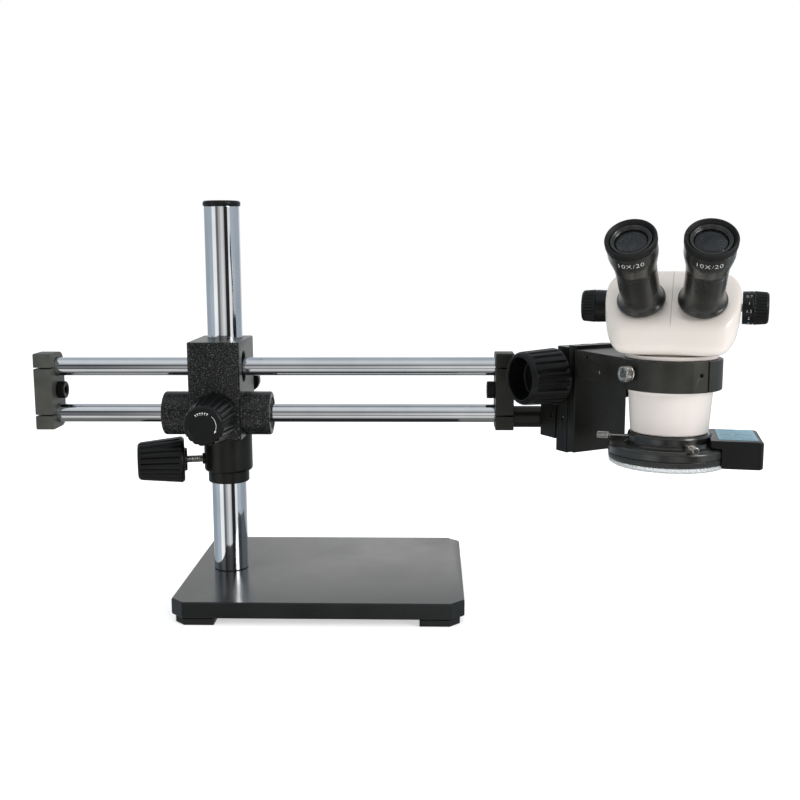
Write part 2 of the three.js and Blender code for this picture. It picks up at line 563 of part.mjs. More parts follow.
function makeHead() {
  const openings = [-1, 1].map((side) => onTube(disc(tube.inner + 0.6, -14, 10, 32), side))
  const throat = disc(neck.r - neck.wall, shell.low - 2, shell.low + 10, 32)
  const shaftHole = alongX(disc(zoom.shaftR + gap, -60, 60, 20)).translate(0, zoom.y, zoom.z)
  add(scope, 'head_housing', cut(headForm(0), headForm(shell.wall), throat, shaftHole, ...openings), enamelWhite)

  const n = neck
  const profile = [
    [n.spoutR - n.wall, n.low], [n.spoutR, n.low], [n.spoutR, n.coneLow], [n.coneLowR, n.coneLow],
    [n.coneTopR, n.shoulder], [n.r, n.shoulder + 1.5], [n.r, n.lip], [n.lipR, n.lip], [n.lipR, n.high],
    [n.r - n.wall, n.high],
    [n.r - n.wall, n.shoulder + 1], [n.coneLowR - n.wall, n.coneLow + n.wall], [lens.r + 1, n.coneLow + n.wall],
    [lens.r + 1, lens.low + lens.thick + 2], [lens.r - 2, lens.low + lens.thick + 2],
    [lens.r - 2, lens.low + lens.thick + gap], [lens.r + gap, lens.low + lens.thick + gap], [lens.r + gap, n.low],
    [n.spoutR - n.wall, n.low]
  ]
  add(scope, 'objective_housing', fromSolid(toSolid(turned(profile, 32))), enamelWhite)

  const crown = 2
  const lensProfile = [[0, lens.low]]
  lensProfile.push([lens.r, lens.low], [lens.r, lens.low + lens.thick - crown])
  for (let i = 1; i <= 3; i++) {
    const t = (i / 3) * (Math.PI / 2)
    lensProfile.push([(lens.r - 2.2) * Math.cos(t), lens.low + lens.thick - crown + crown * Math.sin(t)])
  }
  add(scope, 'objective_lens', turned(lensProfile, 28), glass)

  const a = adaptor
  add(scope, 'light_adaptor', fromSolid(toSolid(ring(a.inner, a.r, a.low, a.high, 32))), anodised)

  const z = zoom
  const span = z.start + 10
  add(scope, 'zoom_shaft', alongX(disc(z.shaftR, -span, span, 20)).translate(0, z.y, z.z), steel)
  for (const [name, sign] of [['zoom_knob_left', -1], ['zoom_knob_right', 1]]) {
    const zoomProfile = [
      [0, z.start], [z.r, z.start], [z.r, z.start + 5], [z.r - 0.5, z.start + 5.5], [z.endR, z.end - 1.4],
      [z.endR - 1.4, z.end], [0, z.end]
    ]
    const bore = disc(z.shaftR + gap, z.start - 1, span + gap, 16)
    const knobHere = cut(turned(zoomProfile, 28), bore)
    const turn = sign > 0 ? alongX(knobHere) : alongX(knobHere).rotateZ(Math.PI)
    add(scope, name, turn.translate(0, z.y, z.z), knobPlastic)
  }

  const c = carriage
  const holes = [-1, 1].map((side) => disc(c.holeR, c.z - 1, c.z + c.thick + 1, 24).translate(side * c.holeX, 0, 0))
  add(scope, 'zoom_carriage', cut(disc(c.r, c.z, c.z + c.thick, 36), ...holes), anodised)
}

function makeEyepieces() {
  for (const [name, side] of [['left', -1], ['right', 1]]) {
    const t = tube
    const seat = gap + 1.6
    const tubeProfile = [
      [t.inner, seat], [t.flangeR - 1, seat], [t.flangeR, seat + 1], [t.flangeR, seat + t.flange - 1.2],
      [t.flangeR - 1.2, seat + t.flange], [t.r, seat + t.flange + 0.6], [t.r, t.end], [t.inner, t.end], [t.inner, seat]
    ]
    add(scope, `eye_tube_${name}`, fromSolid(toSolid(onTube(turned(tubeProfile, 24), side))), knobPlastic)

    const e = eyepiece
    const bodyProfile = [
      [e.bore, e.start - e.sleeveIn], [e.sleeveR, e.start - e.sleeveIn], [e.sleeveR, e.start], [e.r, e.start],
      [e.r, e.cone], [e.topR, e.coneEnd], [e.topR, e.end], [e.bore, e.end],
      [e.bore, e.start - e.sleeveIn]
    ]
    add(scope, `eyepiece_${name}`, fromSolid(toSolid(onTube(turned(bodyProfile, 24), side))), knobPlastic)

    const c = eyecup
    const low = e.end + gap
    const cupProfile = [
      [c.seatR, low], [c.r - 0.6, low], [c.r, low + 1], [c.r, c.end - 1], [c.r - 0.8, c.end], [c.lip + 1, c.end],
      [c.lip, c.end - 0.8], [c.seatR, low + 3], [c.seatR, low]
    ]
    add(scope, `eyecup_${name}`, fromSolid(toSolid(onTube(turned(cupProfile, 24), side))), rubber)

    const l = eyeLens
    const lensProfile = [[0, low], [l.r, low], [l.r, low + 1.2]]
    for (let i = 1; i <= 3; i++) {
      const a = (i / 3) * (Math.PI / 2)
      lensProfile.push([(l.r - 1) * Math.cos(a), low + 1.2 + l.crown * Math.sin(a)])
    }
    add(scope, `eye_lens_${name}`, fromSolid(toSolid(onTube(turned(lensProfile, 24), side))), glass)
  }
}

// ---- ring light --------------------------------------------------------------------
const lamp = new THREE.Group()
lamp.position.set(head.x, head.y, 0)
model.add(lamp)

function makeRingLight() {
  const l = light
  const profile = [
    [l.bore, l.low], [l.pocketIn - 0.9, l.low], [l.pocketIn - 0.9, l.pocketTop], [l.pocketOut + 0.3, l.pocketTop],
    [l.pocketOut + 0.3, l.low], [l.r, l.low], [l.r, l.shoulder - l.chamfer], [l.r - l.chamfer, l.shoulder],
    [l.collarR, l.shoulder], [l.collarR, l.high - 0.6], [l.collarR - 0.6, l.high], [l.bore, l.high], [l.bore, l.low]
  ]
  const screwHoles = lightScrew.angles.map((angle) =>
    alongX(disc(lightScrew.r + gap, 20, 40, 16)).translate(0, 0, lightScrew.z).rotateZ(rad(angle)))
  add(lamp, 'ring_light_housing', cut(turned(profile, 36), ...screwHoles), anodised)

  const d = diffuser
  const diffuserProfile = [
    [d.inner, d.low], [d.lip, d.low], [d.lip, d.lipTop], [d.outer, d.lipTop], [d.outer, d.top], [d.inner, d.top], [d.inner, d.low]
  ]
  add(lamp, 'light_diffuser', fromSolid(toSolid(turned(diffuserProfile, 36))), clearPlastic)
  const b = ledBoard
  add(lamp, 'led_board', fromSolid(toSolid(ring(b.inner, b.outer, b.low, b.low + b.thick, 32))), boardWhite)

  const start = 30
  const outline = roundedOutline(rectangle(start, box.end, -box.half, box.half), [0, box.round, box.round, 0], 5)
  const upright = roundedOutline(
    [[start, box.low], [box.end, box.low], [box.end, box.high], [start, box.high]], [0, 2.5, 2.5, 0], 4)
  const sideways = new THREE.ExtrudeGeometry(upright, { depth: 2 * box.half + 4, bevelEnabled: false })
  sideways.rotateX(Math.PI / 2).translate(0, box.half + 2, 0)
  const body = common(plateFrom(outline, box.low - 1, box.high + 1), sideways)
  const ringRoom = disc(l.r + gap, box.low - 2, l.shoulder + gap, 36)
  const collarRoom = disc(l.collarR + gap, box.low - 2, box.high + 2, 36)
  const inletHole = alongY(disc(inlet.r + gap, box.half - inlet.length, box.half + 1, 20)).translate(inlet.along, 0, inlet.z)
  add(lamp, 'power_box', cut(body, ringRoom, collarRoom, inletHole).rotateZ(rad(box.angle)), knobPlastic)

  const socket = ring(inlet.hole, inlet.r, box.half - inlet.length + gap, box.half + 0.8, 20)
  const backWall = disc(inlet.r, box.half - inlet.length + gap, box.half - inlet.length + 1.5, 20)
  add(lamp, 'power_inlet', alongY(join(socket, backWall)).translate(inlet.along, 0, inlet.z).rotateZ(rad(box.angle)), steel)

  const names = ['light_screw_left', 'light_screw_front', 'light_screw_rear']
  lightScrew.angles.forEach((angle, i) => {
    const s = lightScrew
    const screwProfile = [
      [0, s.tip], [s.r, s.tip], [s.r, s.head], [s.headR - 0.4, s.head], [s.headR, s.head + 0.4],
      [s.headR, s.end - 0.4], [s.headR - 0.4, s.end], [0, s.end]
    ]
    add(lamp, names[i], alongX(turned(screwProfile, 14)).translate(0, 0, s.z).rotateZ(rad(angle)), steel)
  })
}

makeBase()
makeCollar()
makeBlock()
makeBlockKnobs()
makeBoom()
makeKnuckle()
makeBracket()
makeFocus()
makeHolder()
makeHead()
makeEyepieces()
makeRingLight()

// Origin: the middle of the whole object's outline, on the surface that it stands on.
model.updateMatrixWorld(true)
const extent = new THREE.Box3().setFromObject(model, true)
model.position.set(-(extent.min.x + extent.max.x) / 2, -(extent.min.y + extent.max.y) / 2, -extent.min.z)

export default model
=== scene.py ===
import math
import bmesh
import bpy
import numpy as np
from mathutils import Matrix, Vector


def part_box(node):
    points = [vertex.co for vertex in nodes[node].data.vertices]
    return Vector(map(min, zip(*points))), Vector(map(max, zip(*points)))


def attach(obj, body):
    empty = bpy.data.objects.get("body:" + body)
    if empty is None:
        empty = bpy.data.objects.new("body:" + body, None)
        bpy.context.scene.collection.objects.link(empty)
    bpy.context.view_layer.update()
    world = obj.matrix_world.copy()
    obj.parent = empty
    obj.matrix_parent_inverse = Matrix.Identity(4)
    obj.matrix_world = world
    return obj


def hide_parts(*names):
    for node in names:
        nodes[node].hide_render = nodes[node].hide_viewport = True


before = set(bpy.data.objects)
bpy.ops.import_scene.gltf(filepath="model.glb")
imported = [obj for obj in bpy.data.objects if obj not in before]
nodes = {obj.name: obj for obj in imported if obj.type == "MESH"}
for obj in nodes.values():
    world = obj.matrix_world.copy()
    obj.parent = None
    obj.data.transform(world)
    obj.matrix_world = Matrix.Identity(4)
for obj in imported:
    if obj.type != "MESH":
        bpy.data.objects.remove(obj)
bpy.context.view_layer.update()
print("frame loaded:", len(nodes), "nodes")

# Places
# Shapes are worked out in millimetres in the frame of their own assembly, then placed.
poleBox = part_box("pole")
poleX = -91.75
shift = np.array([(poleBox[0].x + poleBox[1].x) * 500 - poleX, (poleBox[0].y + poleBox[1].y) * 500, 0])
headAxis = np.array([285.6, -142.0, 0.0])
mountAngle, headAngle, boxAngle = 30, -15.5, -11
rodY, upperZ, lowerZ = -28.3, 215.9, 173.5


def turn(points, degrees, axis=(0, 0, 1)):
    # every point turned about a line through the origin
    return points @ np.array(Matrix.Rotation(math.radians(degrees), 3, Vector(axis).normalized())).T


def onStand(points):
    return (points + shift) / 1000


def onMount(points):
    return onStand(turn(points, mountAngle) + headAxis)


def onHead(points):
    return onStand(turn(points, headAngle) + headAxis)


def onLamp(points):
    return onStand(points + headAxis)


def onBox(points):
    return onLamp(turn(points, boxAngle))


def onTube(side):
    # the eyepiece axis leaves the sloping face at 45 degrees and splays 4.7 degrees outwards
    return lambda points: onHead(
        turn(turn(points, 45, (1, 0, 0)), side * 4.7, (0, 1, 1)) + np.array([side * 22.1, -24.3, 280.2]))


def along(axis, at, flip=1):
    # a turned piece laid along x or y; flip -1 points it the other way
    def lay(points):
        x, y, z = points.T
        laid = {"x": (z * flip, y * flip, -x), "y": (x * flip, z * flip, -y), "z": (x, y, z)}[axis]
        return np.stack(laid, -1) + np.array(at, float)
    return lay


# Surfaces
def gridSurface(points, closed=True):
    # points[row, column] become quads; closed joins the last column to the first
    rows, columns = points.shape[:2]
    r = np.arange(rows - 1)[:, None]
    c = np.arange(columns if closed else columns - 1)[None, :]
    a, b = r * columns + c, r * columns + (c + 1) % columns
    return points.reshape(-1, 3), np.stack([a, b, b + columns, a + columns], -1).reshape(-1, 4)


def rounded(corners, radius=0.6, steps=4):
    # each corner of a profile becomes a short arc, with a point either side that keeps the flats flat
    points = np.array([c[:2] for c in corners], float)
    radii = [c[2] if len(c) > 2 else radius for c in corners]
    t = np.linspace(0, 1, steps + 1)[:, None]
    out = [points[:1]]
    for before, here, after, wanted in zip(points, points[1:], points[2:], radii[1:]):
        back, ahead = before - here, after - here
        backLength, aheadLength = np.linalg.norm(back), np.linalg.norm(ahead)
        r = min(wanted, 0.42 * backLength, 0.42 * aheadLength)
        start, end = here + back / backLength * r, here + ahead / aheadLength * r
        arc = (1 - t) ** 2 * start + 2 * t * (1 - t) * here + t ** 2 * end
        out += [start[None] + back / backLength * r * 0.1, arc, end[None] + ahead / aheadLength * r * 0.1]
    return np.concatenate(out + [points[-1:]])


def lathe(profile, sides=96, groove=None, rows=None):
    # (radius, height) points carried round z; groove(angle, height) is taken off the radius
    profile = np.array(profile, float)
    if rows:
        # long stretches are cut into rows so that a groove can fade in and out along them
        steps = [max(1, int(np.ceil(np.linalg.norm(b - a) / rows))) for a, b in zip(profile, profile[1:])]
        pieces = [a + (b - a) * np.linspace(0, 1, n, endpoint=False)[:, None]
                  for a, b, n in zip(profile, profile[1:], steps)]
        profile = np.concatenate(pieces + [profile[-1:]])
    angle = np.linspace(0, 2 * np.pi, sides, endpoint=False)[None, :]
    r, z = profile[:, :1] + 0 * angle, profile[:, 1:] + 0 * angle
    if groove:
        r = np.maximum(r - groove(angle, z, r), 0)
    return gridSurface(np.stack([r * np.cos(angle), r * np.sin(angle), z], -1))


def window(x, low, high, soft):
    # 1 between low and high, easing to 0 over a soft distance inside each end
    t = np.clip(np.minimum(x - low, high - x) / soft, 0, 1)
    return t * t * (3 - 2 * t)


def ribbon(path, width):
    # a flat strip in the xy plane: each path point is moved half a width to either side
    direction = np.gradient(path, axis=0)
    side = np.stack([-direction[:, 1], direction[:, 0]], -1)
    side /= np.linalg.norm(side, axis=1)[:, None]
    half = side * np.asarray(width).reshape(-1, 1) / 2
    both = np.stack([path - half, path + half], 1)
    return gridSurface(np.concatenate([both, np.zeros(both.shape[:2] + (1,))], -1), closed=False)


def slab(width, depth, height, radius, round=0.6):
    # a rounded plate on xy: superellipse-cornered outline, its section eased at the top and bottom edges
    a = np.linspace(0, 2 * np.pi, 96, endpoint=False) + np.pi / 96
    cx, cy = width / 2 - radius, depth / 2 - radius
    outline = np.stack([np.sign(np.cos(a)) * cx, np.sign(np.sin(a)) * cy], -1)
    direction = np.stack([np.cos(a), np.sin(a)], -1)
    section = rounded([(-min(cx, cy), 0), (0, 0, round), (0, height, round), (-min(cx, cy), height)], round)
    grow = np.maximum(radius + section[:, 0], 0)[:, None, None]
    shrink = np.minimum(radius + section[:, 0], 0)[:, None, None]
    inner = outline[None] * (1 + shrink / max(min(cx, cy), 1e-6))
    plan = inner + direction[None] * grow
    return gridSurface(np.concatenate([plan, np.broadcast_to(section[:, 1, None, None],
                                                             plan.shape[:2] + (1,))], -1))


def lettering(text, size):
    # plain figures as a flat mesh, centred, in millimetres; the text object itself is removed
    curve = bpy.data.curves.new("figures", "FONT")
    curve.body, curve.size, curve.align_x, curve.align_y = text, size, "CENTER", "CENTER"
    curve.resolution_u, curve.offset, curve.space_character = 3, -0.022 * size, 1.12
    holder = bpy.data.objects.new("figures", curve)
    bpy.context.scene.collection.objects.link(holder)
    mesh = bpy.data.meshes.new_from_object(holder)
    build = bmesh.new()
    build.from_mesh(mesh)
    bmesh.ops.triangulate(build, faces=build.faces)
    verts = np.array([v.co[:] for v in build.verts])
    faces = np.array([[v.index for v in f.verts] for f in build.faces])
    build.free()
    bpy.data.objects.remove(holder)
    bpy.data.curves.remove(curve)
    return verts, faces


def makePiece(name, parts, place, material, body, stands=(), sharp=38, closed=True):
    # one object from (points, faces) parts in millimetres, placed, merged at its poles and faced outwards
    offsets = np.cumsum([0] + [len(p[0]) for p in parts])
    points = place(np.concatenate([p[0] for p in parts]))
    faces = [row for (_, f), o in zip(parts, offsets) for row in (f + o).tolist()]
    mesh = bpy.data.meshes.new(name)
    mesh.from_pydata(points.tolist(), [], faces)
    return finishPiece(name, mesh, material, body, stands, sharp, closed)


def finishPiece(name, mesh, material, body, stands, sharp=38, closed=True, merge=2e-7):
    build = bmesh.new()
    build.from_mesh(mesh)
    bmesh.ops.remove_doubles(build, verts=build.verts, dist=merge)
    if closed:
        bmesh.ops.recalc_face_normals(build, faces=build.faces)
    build.to_mesh(mesh)
    build.free()
    mesh.polygons.foreach_set("use_smooth", np.ones(len(mesh.polygons), bool))
    mesh.set_sharp_from_angle(angle=math.radians(sharp))
    mesh.materials.clear()
    mesh.materials.append(material)
    piece = bpy.data.objects.new(name, mesh)
    bpy.context.scene.collection.objects.link(piece)
    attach(piece, body)
    if stands:
        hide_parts(*stands)
    return piece


def softened(name, node, width, material, body, segments=2, limit=40, sharp=30):
    # the machined body of a CAD node with its edges broken, so that they catch the light
    mesh = nodes[node].data.copy()
    build = bmesh.new()
    build.from_mesh(mesh)
    bmesh.ops.remove_doubles(build, verts=build.verts, dist=3e-6)
    bmesh.ops.dissolve_limit(build, angle_limit=math.radians(0.6), verts=build.verts, edges=build.edges)
    build.to_mesh(mesh)
    build.free()
    piece = finishPiece(name, mesh, material, body, [node], sharp, closed=False, merge=1e-7)
    edge = piece.modifiers.new("brokenEdges", "BEVEL")
    edge.width, edge.segments, edge.limit_method = width / 1000, segments, "ANGLE"
    edge.angle_limit, edge.use_clamp_overlap, edge.harden_normals = math.radians(limit), False, True
    return piece


# Materials
def colour(text):
    # sRGB hex to linear
    c = np.array([int(text[i:i + 2], 16) for i in (1, 3, 5)]) / 255
    return (*np.where(c <= 0.04045, c / 12.92, ((c + 0.055) / 1.055) ** 2.4).tolist(), 1.0)


def perMetre(millimetres):
    return 1000 / millimetres


def addNode(tree, kind, settings=None, links=None):
    node = tree.nodes.new(kind)
    for key, value in (settings or {}).items():
        if isinstance(key, int) or key in node.inputs:
            node.inputs[key].default_value = value
        else:
            setattr(node, key, value)
    for key, source in (links or {}).items():
        tree.links.new(source, node.inputs[key])
    return node


def setStops(node, stops):
    # colour ramp stops: (position, hex colour)
    ramp = node.color_ramp
    while len(ramp.elements) > 1:
        ramp.elements.remove(ramp.elements[-1])
    ramp.elements[0].position, ramp.elements[0].color = stops[0][0], colour(stops[0][1])
    for position, shade in stops[1:]:
        ramp.elements.new(position).color = colour(shade)
    return node


def newMaterial(name, settings):
    material = bpy.data.materials.new(name)
    material.use_nodes = True
    tree = material.node_tree
    shader = tree.nodes["Principled BSDF"]
    for key, value in settings.items():
        shader.inputs[key].default_value = value
    return material, tree, shader, addNode(tree, "ShaderNodeTexCoord").outputs["Object"]


def coatedMetal(name, look):
    # Paint or plating over a smooth ground: two close shades drift over the surface, the gloss wanders
    # with them, and a fine grain in the top film breaks the highlights.
    settings = {"Metallic": look.get("metallic", 0.0), "IOR": look.get("ior", 1.5)}
    settings.update(look.get("more", {}))
    material, tree, shader, coords = newMaterial(name, settings)
    drift = addNode(tree, "ShaderNodeTexNoise", {"Scale": perMetre(look["drift"]), "Detail": 3.0},
                    {"Vector": coords})
    shade = setStops(addNode(tree, "ShaderNodeValToRGB", None, {"Fac": drift.outputs["Fac"]}),
                     [(0.3, look["dark"]), (0.7, look["light"])])
    gloss = addNode(tree, "ShaderNodeMapRange", {"From Min": 0.3, "From Max": 0.7,
                                                 "To Min": look["rough"][0], "To Max": look["rough"][1]},
                    {"Value": drift.outputs["Fac"]})
    stretch = addNode(tree, "ShaderNodeMapping", {"Scale": look.get("stretch", (1, 1, 1))},
                      {"Vector": coords})
    grain = addNode(tree, "ShaderNodeTexNoise", {"Scale": perMetre(look["grain"]), "Detail": 2.0},
                    {"Vector": stretch.outputs["Vector"]})
    bump = addNode(tree, "ShaderNodeBump", {"Strength": look["bump"], "Distance": look["grain"] / 4000},
                   {"Height": grain.outputs["Fac"]})
    tree.links.new(shade.outputs["Color"], shader.inputs["Base Color"])
    tree.links.new(gloss.outputs["Result"], shader.inputs["Roughness"])
    tree.links.new(bump.outputs["Normal"], shader.inputs["Normal"])
    return material


# Stoved enamel on cast iron: deep black, glossy at a low angle, with a faint orange peel.
enamelBlack = coatedMetal("stoved black enamel", {
    "dark": "#0f1110", "light": "#151716", "drift": 45, "rough": (0.2, 0.27), "grain": 2.4, "bump": 0.05,
    "more": {"Coat Weight": 0.15, "Coat Roughness": 0.1}})
# Hard chrome on ground steel bar: a clear mirror, very slightly softened by the grinding.
hardChrome = coatedMetal("hard chrome plate", {
    "dark": "#dfe2e5", "light": "#eceef0", "drift": 30, "rough": (0.045, 0.075), "metallic": 1.0,
    "grain": 0.6, "bump": 0.02})
# Moulded ABS: satin black with a low sheen and a fine spark-eroded grain.
mouldedBlack = coatedMetal("moulded black ABS", {
    "dark": "#080908", "light": "#0d0e0d", "drift": 14, "rough": (0.28, 0.38), "grain": 0.35, "bump": 0.12,
    "more": {"Specular IOR Level": 0.36}})
# Smoother moulding on the eyepieces and their tubes.
lacquerBlack = coatedMetal("black satin lacquer on aluminium", {
    "dark": "#1b1c19", "light": "#252622", "drift": 18, "rough": (0.26, 0.34), "grain": 0.5, "bump": 0.05,
    "more": {"Coat Weight": 0.6, "Coat Roughness": 0.22}})
# Black anodising over turned and milled aluminium: near black, with an olive cast where light grazes it.
anodisedBlack = coatedMetal("black anodised aluminium", {
    "dark": "#1d1d1a", "light": "#272621", "drift": 25, "rough": (0.3, 0.4), "metallic": 0.55, "grain": 0.5,
    "bump": 0.06, "stretch": (1, 1, 9)})
# The clamp ring takes a greyer copy of the black anodising: painted sheen, its lighter shades standing in for the
# broad highlights the light lays on it.
anodisedPaintedSheen = coatedMetal("black anodised aluminium with painted sheen", {
    "dark": "#363632", "light": "#42423c", "drift": 22, "rough": (0.34, 0.42), "metallic": 0.6,
    "grain": 0.5, "bump": 0.05, "stretch": (1, 1, 9)})
# The same film on the end blocks has worn a little greyer.
anodisedGrey = coatedMetal("bead-blasted anodised aluminium", {
    "dark": "#282925", "light": "#34352f", "drift": 16, "rough": (0.42, 0.52), "metallic": 0.5,
    "grain": 0.45, "bump": 0.16})
# The far end block takes a paler copy of the end blocks' anodising: painted light, standing in for the light
# falling on its left face.
anodisedPaintedLight = coatedMetal("anodised aluminium with painted light", {
    "dark": "#4e4f4a", "light": "#5c5d57", "drift": 16, "rough": (0.42, 0.52), "metallic": 0.5,
    "grain": 0.45, "bump": 0.16})
# Zinc-plated turned steel: grey with a soft gleam.
turnedSteel = coatedMetal("zinc plated turned steel", {
    "dark": "#a5a29b", "light": "#c4c1b9", "drift": 3, "rough": (0.22, 0.34), "metallic": 1.0, "grain": 0.3,
    "bump": 0.08})
blackSteel = coatedMetal("blackened socket screw steel", {
    "dark": "#191918", "light": "#262523", "drift": 4, "rough": (0.3, 0.42), "metallic": 0.8, "grain": 0.3,
    "bump": 0.08})
nickelBright = coatedMetal("bright nickel plate", {
    "dark": "#a9a8a3", "light": "#c4c2bd", "drift": 3, "rough": (0.22, 0.3), "metallic": 1.0, "grain": 0.3,
    "bump": 0.04})
bearingSteel = coatedMetal("ground bearing steel", {
    "dark": "#8e9094", "light": "#aeb0b4", "drift": 5, "rough": (0.18, 0.28), "metallic": 1.0, "grain": 0.3,
    "bump": 0.05})
# Sprayed enamel on the optical castings: warm off-white, low gloss, slightly rippled.
enamelWhite = coatedMetal("warm white sprayed enamel", {
    "dark": "#e2dad1", "light": "#e6dcd6", "drift": 38, "rough": (0.3, 0.37), "grain": 1.5, "bump": 0.035,
    "more": {"Coat Weight": 0.25, "Coat Roughness": 0.12}})
# Nitrile rubber: dead black, its bloom scatters the light.
rubberBlack = coatedMetal("moulded nitrile rubber", {
    "dark": "#0c0c0c", "light": "#141413", "drift": 9, "rough": (0.52, 0.66), "grain": 0.5, "bump": 0.18})
linerBlack = coatedMetal("black acetal liner", {
    "dark": "#131313", "light": "#1c1c1b", "drift": 8, "rough": (0.4, 0.5), "grain": 0.5, "bump": 0.08})
brassRack = coatedMetal("machined brass", {
    "dark": "#a98a48", "light": "#c2a25c", "drift": 5, "rough": (0.2, 0.3), "metallic": 1.0, "grain": 0.3,
    "bump": 0.06})
solderMask = coatedMetal("white solder mask", {
    "dark": "#dfe0da", "light": "#eeeee9", "drift": 6, "rough": (0.3, 0.4), "grain": 0.4, "bump": 0.06})
# Silk-screened ink: off-white and slightly broken.
inkWhite = coatedMetal("white screen ink", {
    "dark": "#d2d2ce", "light": "#efefec", "drift": 1.2, "rough": (0.45, 0.55), "grain": 0.3, "bump": 0.1})
paperBlue = coatedMetal("pale blue vinyl label", {
    "dark": "#6aa3b8", "light": "#78b1c5", "drift": 7, "rough": (0.28, 0.36), "grain": 0.6, "bump": 0.04})
inkBlue = coatedMetal("dark blue label ink", {
    "dark": "#2f6f92", "light": "#3c7da0", "drift": 2, "rough": (0.35, 0.45), "grain": 0.3, "bump": 0.04})
# The pads of phosphor over the diodes.
ledPhosphor = coatedMetal("yellow LED phosphor", {
    "dark": "#d9c866", "light": "#e6d77c", "drift": 2, "rough": (0.3, 0.4), "grain": 0.3, "bump": 0.05})


def makeHammertone():
    # Hammer finish: the drying film pulls into beads about a millimetre across, with metal flake
    # between them, so a black casting sparkles with small grey specks.
    bead = 1.0
    material, tree, shader, coords = newMaterial("black hammertone paint", {
        "Metallic": 0.1, "IOR": 1.5, "Specular IOR Level": 0.4})
    warp = addNode(tree, "ShaderNodeTexNoise", {"Scale": perMetre(1.6), "Detail": 2.0}, {"Vector": coords})
    shifted = addNode(tree, "ShaderNodeMix", {"data_type": "VECTOR", "Factor": 0.0012},
                      {4: coords, 5: warp.outputs["Color"]})
    cells = addNode(tree, "ShaderNodeTexVoronoi", {"Scale": perMetre(bead), "feature": "SMOOTH_F1",
                                                   "Smoothness": 0.35},
                    {"Vector": shifted.outputs[1]})
    shade = setStops(addNode(tree, "ShaderNodeValToRGB", None, {"Fac": cells.outputs["Distance"]}),
                     [(0.0, "#080908"), (0.45, "#0c0d0c"), (0.64, "#262826"), (0.9, "#5a5c59")])
    gloss = addNode(tree, "ShaderNodeMapRange", {"From Min": 0.2, "From Max": 0.8, "To Min": 0.2,
                                                 "To Max": 0.42},
                    {"Value": cells.outputs["Distance"]})
    bump = addNode(tree, "ShaderNodeBump", {"Strength": 0.4, "Distance": 0.00014, "invert": True},
                   {"Height": cells.outputs["Distance"]})
    tree.links.new(shade.outputs["Color"], shader.inputs["Base Color"])
    tree.links.new(gloss.outputs["Result"], shader.inputs["Roughness"])
    tree.links.new(bump.outputs["Normal"], shader.inputs["Normal"])
    return material


def makeHeadEnamel():
    # The head's enamel, with the fine joint line between its two half castings down the middle.
    look = {"half": 0.0003, "line": "#b9b2aa", "ground": "#e6dcd5", "other": "#e1d9cf"}
    material, tree, shader, coords = newMaterial("white enamel on split castings", {
        "Roughness": 0.33, "Coat Weight": 0.25, "Coat Roughness": 0.12})
    centre = onHead(np.array([[0.0, 0.0, 0.0]]))[0]
    local = addNode(tree, "ShaderNodeMapping", {
        "vector_type": "TEXTURE", "Location": centre.tolist(), "Rotation": (0, 0, math.radians(headAngle))},
        {"Vector": coords})
    axes = addNode(tree, "ShaderNodeSeparateXYZ", None, {"Vector": local.outputs["Vector"]})
    offset = addNode(tree, "ShaderNodeMath", {"operation": "ABSOLUTE"}, {0: axes.outputs["X"]})
    onLine = addNode(tree, "ShaderNodeMapRange", {"From Min": look["half"] * 0.5,
                                                  "From Max": look["half"] * 1.6, "To Min": 1.0,
                                                  "To Max": 0.0}, {"Value": offset.outputs[0]})
    above = addNode(tree, "ShaderNodeMapRange", {"From Min": 0.262, "From Max": 0.266},
                    {"Value": axes.outputs["Z"]})
    seam = addNode(tree, "ShaderNodeMath", {"operation": "MULTIPLY"},
                   {0: onLine.outputs["Result"], 1: above.outputs["Result"]})
    drift = addNode(tree, "ShaderNodeTexNoise", {"Scale": perMetre(40), "Detail": 2.0}, {"Vector": coords})
    ground = setStops(addNode(tree, "ShaderNodeValToRGB", None, {"Fac": drift.outputs["Fac"]}),
                      [(0.35, look["other"]), (0.65, look["ground"])])
    painted = addNode(tree, "ShaderNodeMix", {"data_type": "RGBA", 7: colour(look["line"])},
                      {0: seam.outputs[0], 6: ground.outputs["Color"]})
    peel = addNode(tree, "ShaderNodeTexNoise", {"Scale": perMetre(1.5), "Detail": 2.0}, {"Vector": coords})
    dip = addNode(tree, "ShaderNodeMath", {"operation": "MULTIPLY_ADD", 1: -2.0},
                  {0: seam.outputs[0], 2: peel.outputs["Fac"]})
    bump = addNode(tree, "ShaderNodeBump", {"Strength": 0.04, "Distance": 0.0004},
                   {"Height": dip.outputs[0]})
    tree.links.new(painted.outputs[2], shader.inputs["Base Color"])
    tree.links.new(bump.outputs["Normal"], shader.inputs["Normal"])
    return material


def makeGlass(name, look):
    # clear or coated glass; dust and polish marks vary its gloss a little
    material, tree, shader, coords = newMaterial(name, {
        "Base Color": colour(look["tint"]), "IOR": 1.52, "Transmission Weight": look["through"],
        "Coat Weight": look.get("coat", 0.0), "Coat Roughness": 0.02,
        "Specular IOR Level": look.get("glint", 0.5)})
    smear = addNode(tree, "ShaderNodeTexNoise", {"Scale": perMetre(look["smear"]), "Detail": 3.0},
                    {"Vector": coords})
    gloss = addNode(tree, "ShaderNodeMapRange", {"To Min": look["rough"][0], "To Max": look["rough"][1]},
                    {"Value": smear.outputs["Fac"]})
    tree.links.new(gloss.outputs["Result"], shader.inputs["Roughness"])
    return material


hammertone = makeHammertone()
headEnamel = makeHeadEnamel()
# Multi-coated crown glass looks nearly black with clear bright glints.
coatedGlass = makeGlass("coated eyepiece glass", {
    "tint": "#4a5057", "through": 1.0, "smear": 6, "rough": (0.01, 0.03), "glint": 0.07})
objectiveGlass = makeGlass("coated objective glass", {"tint": "#5f7080", "through": 0.7, "smear": 8,
                                                      "rough": (0.01, 0.04), "coat": 0.5})
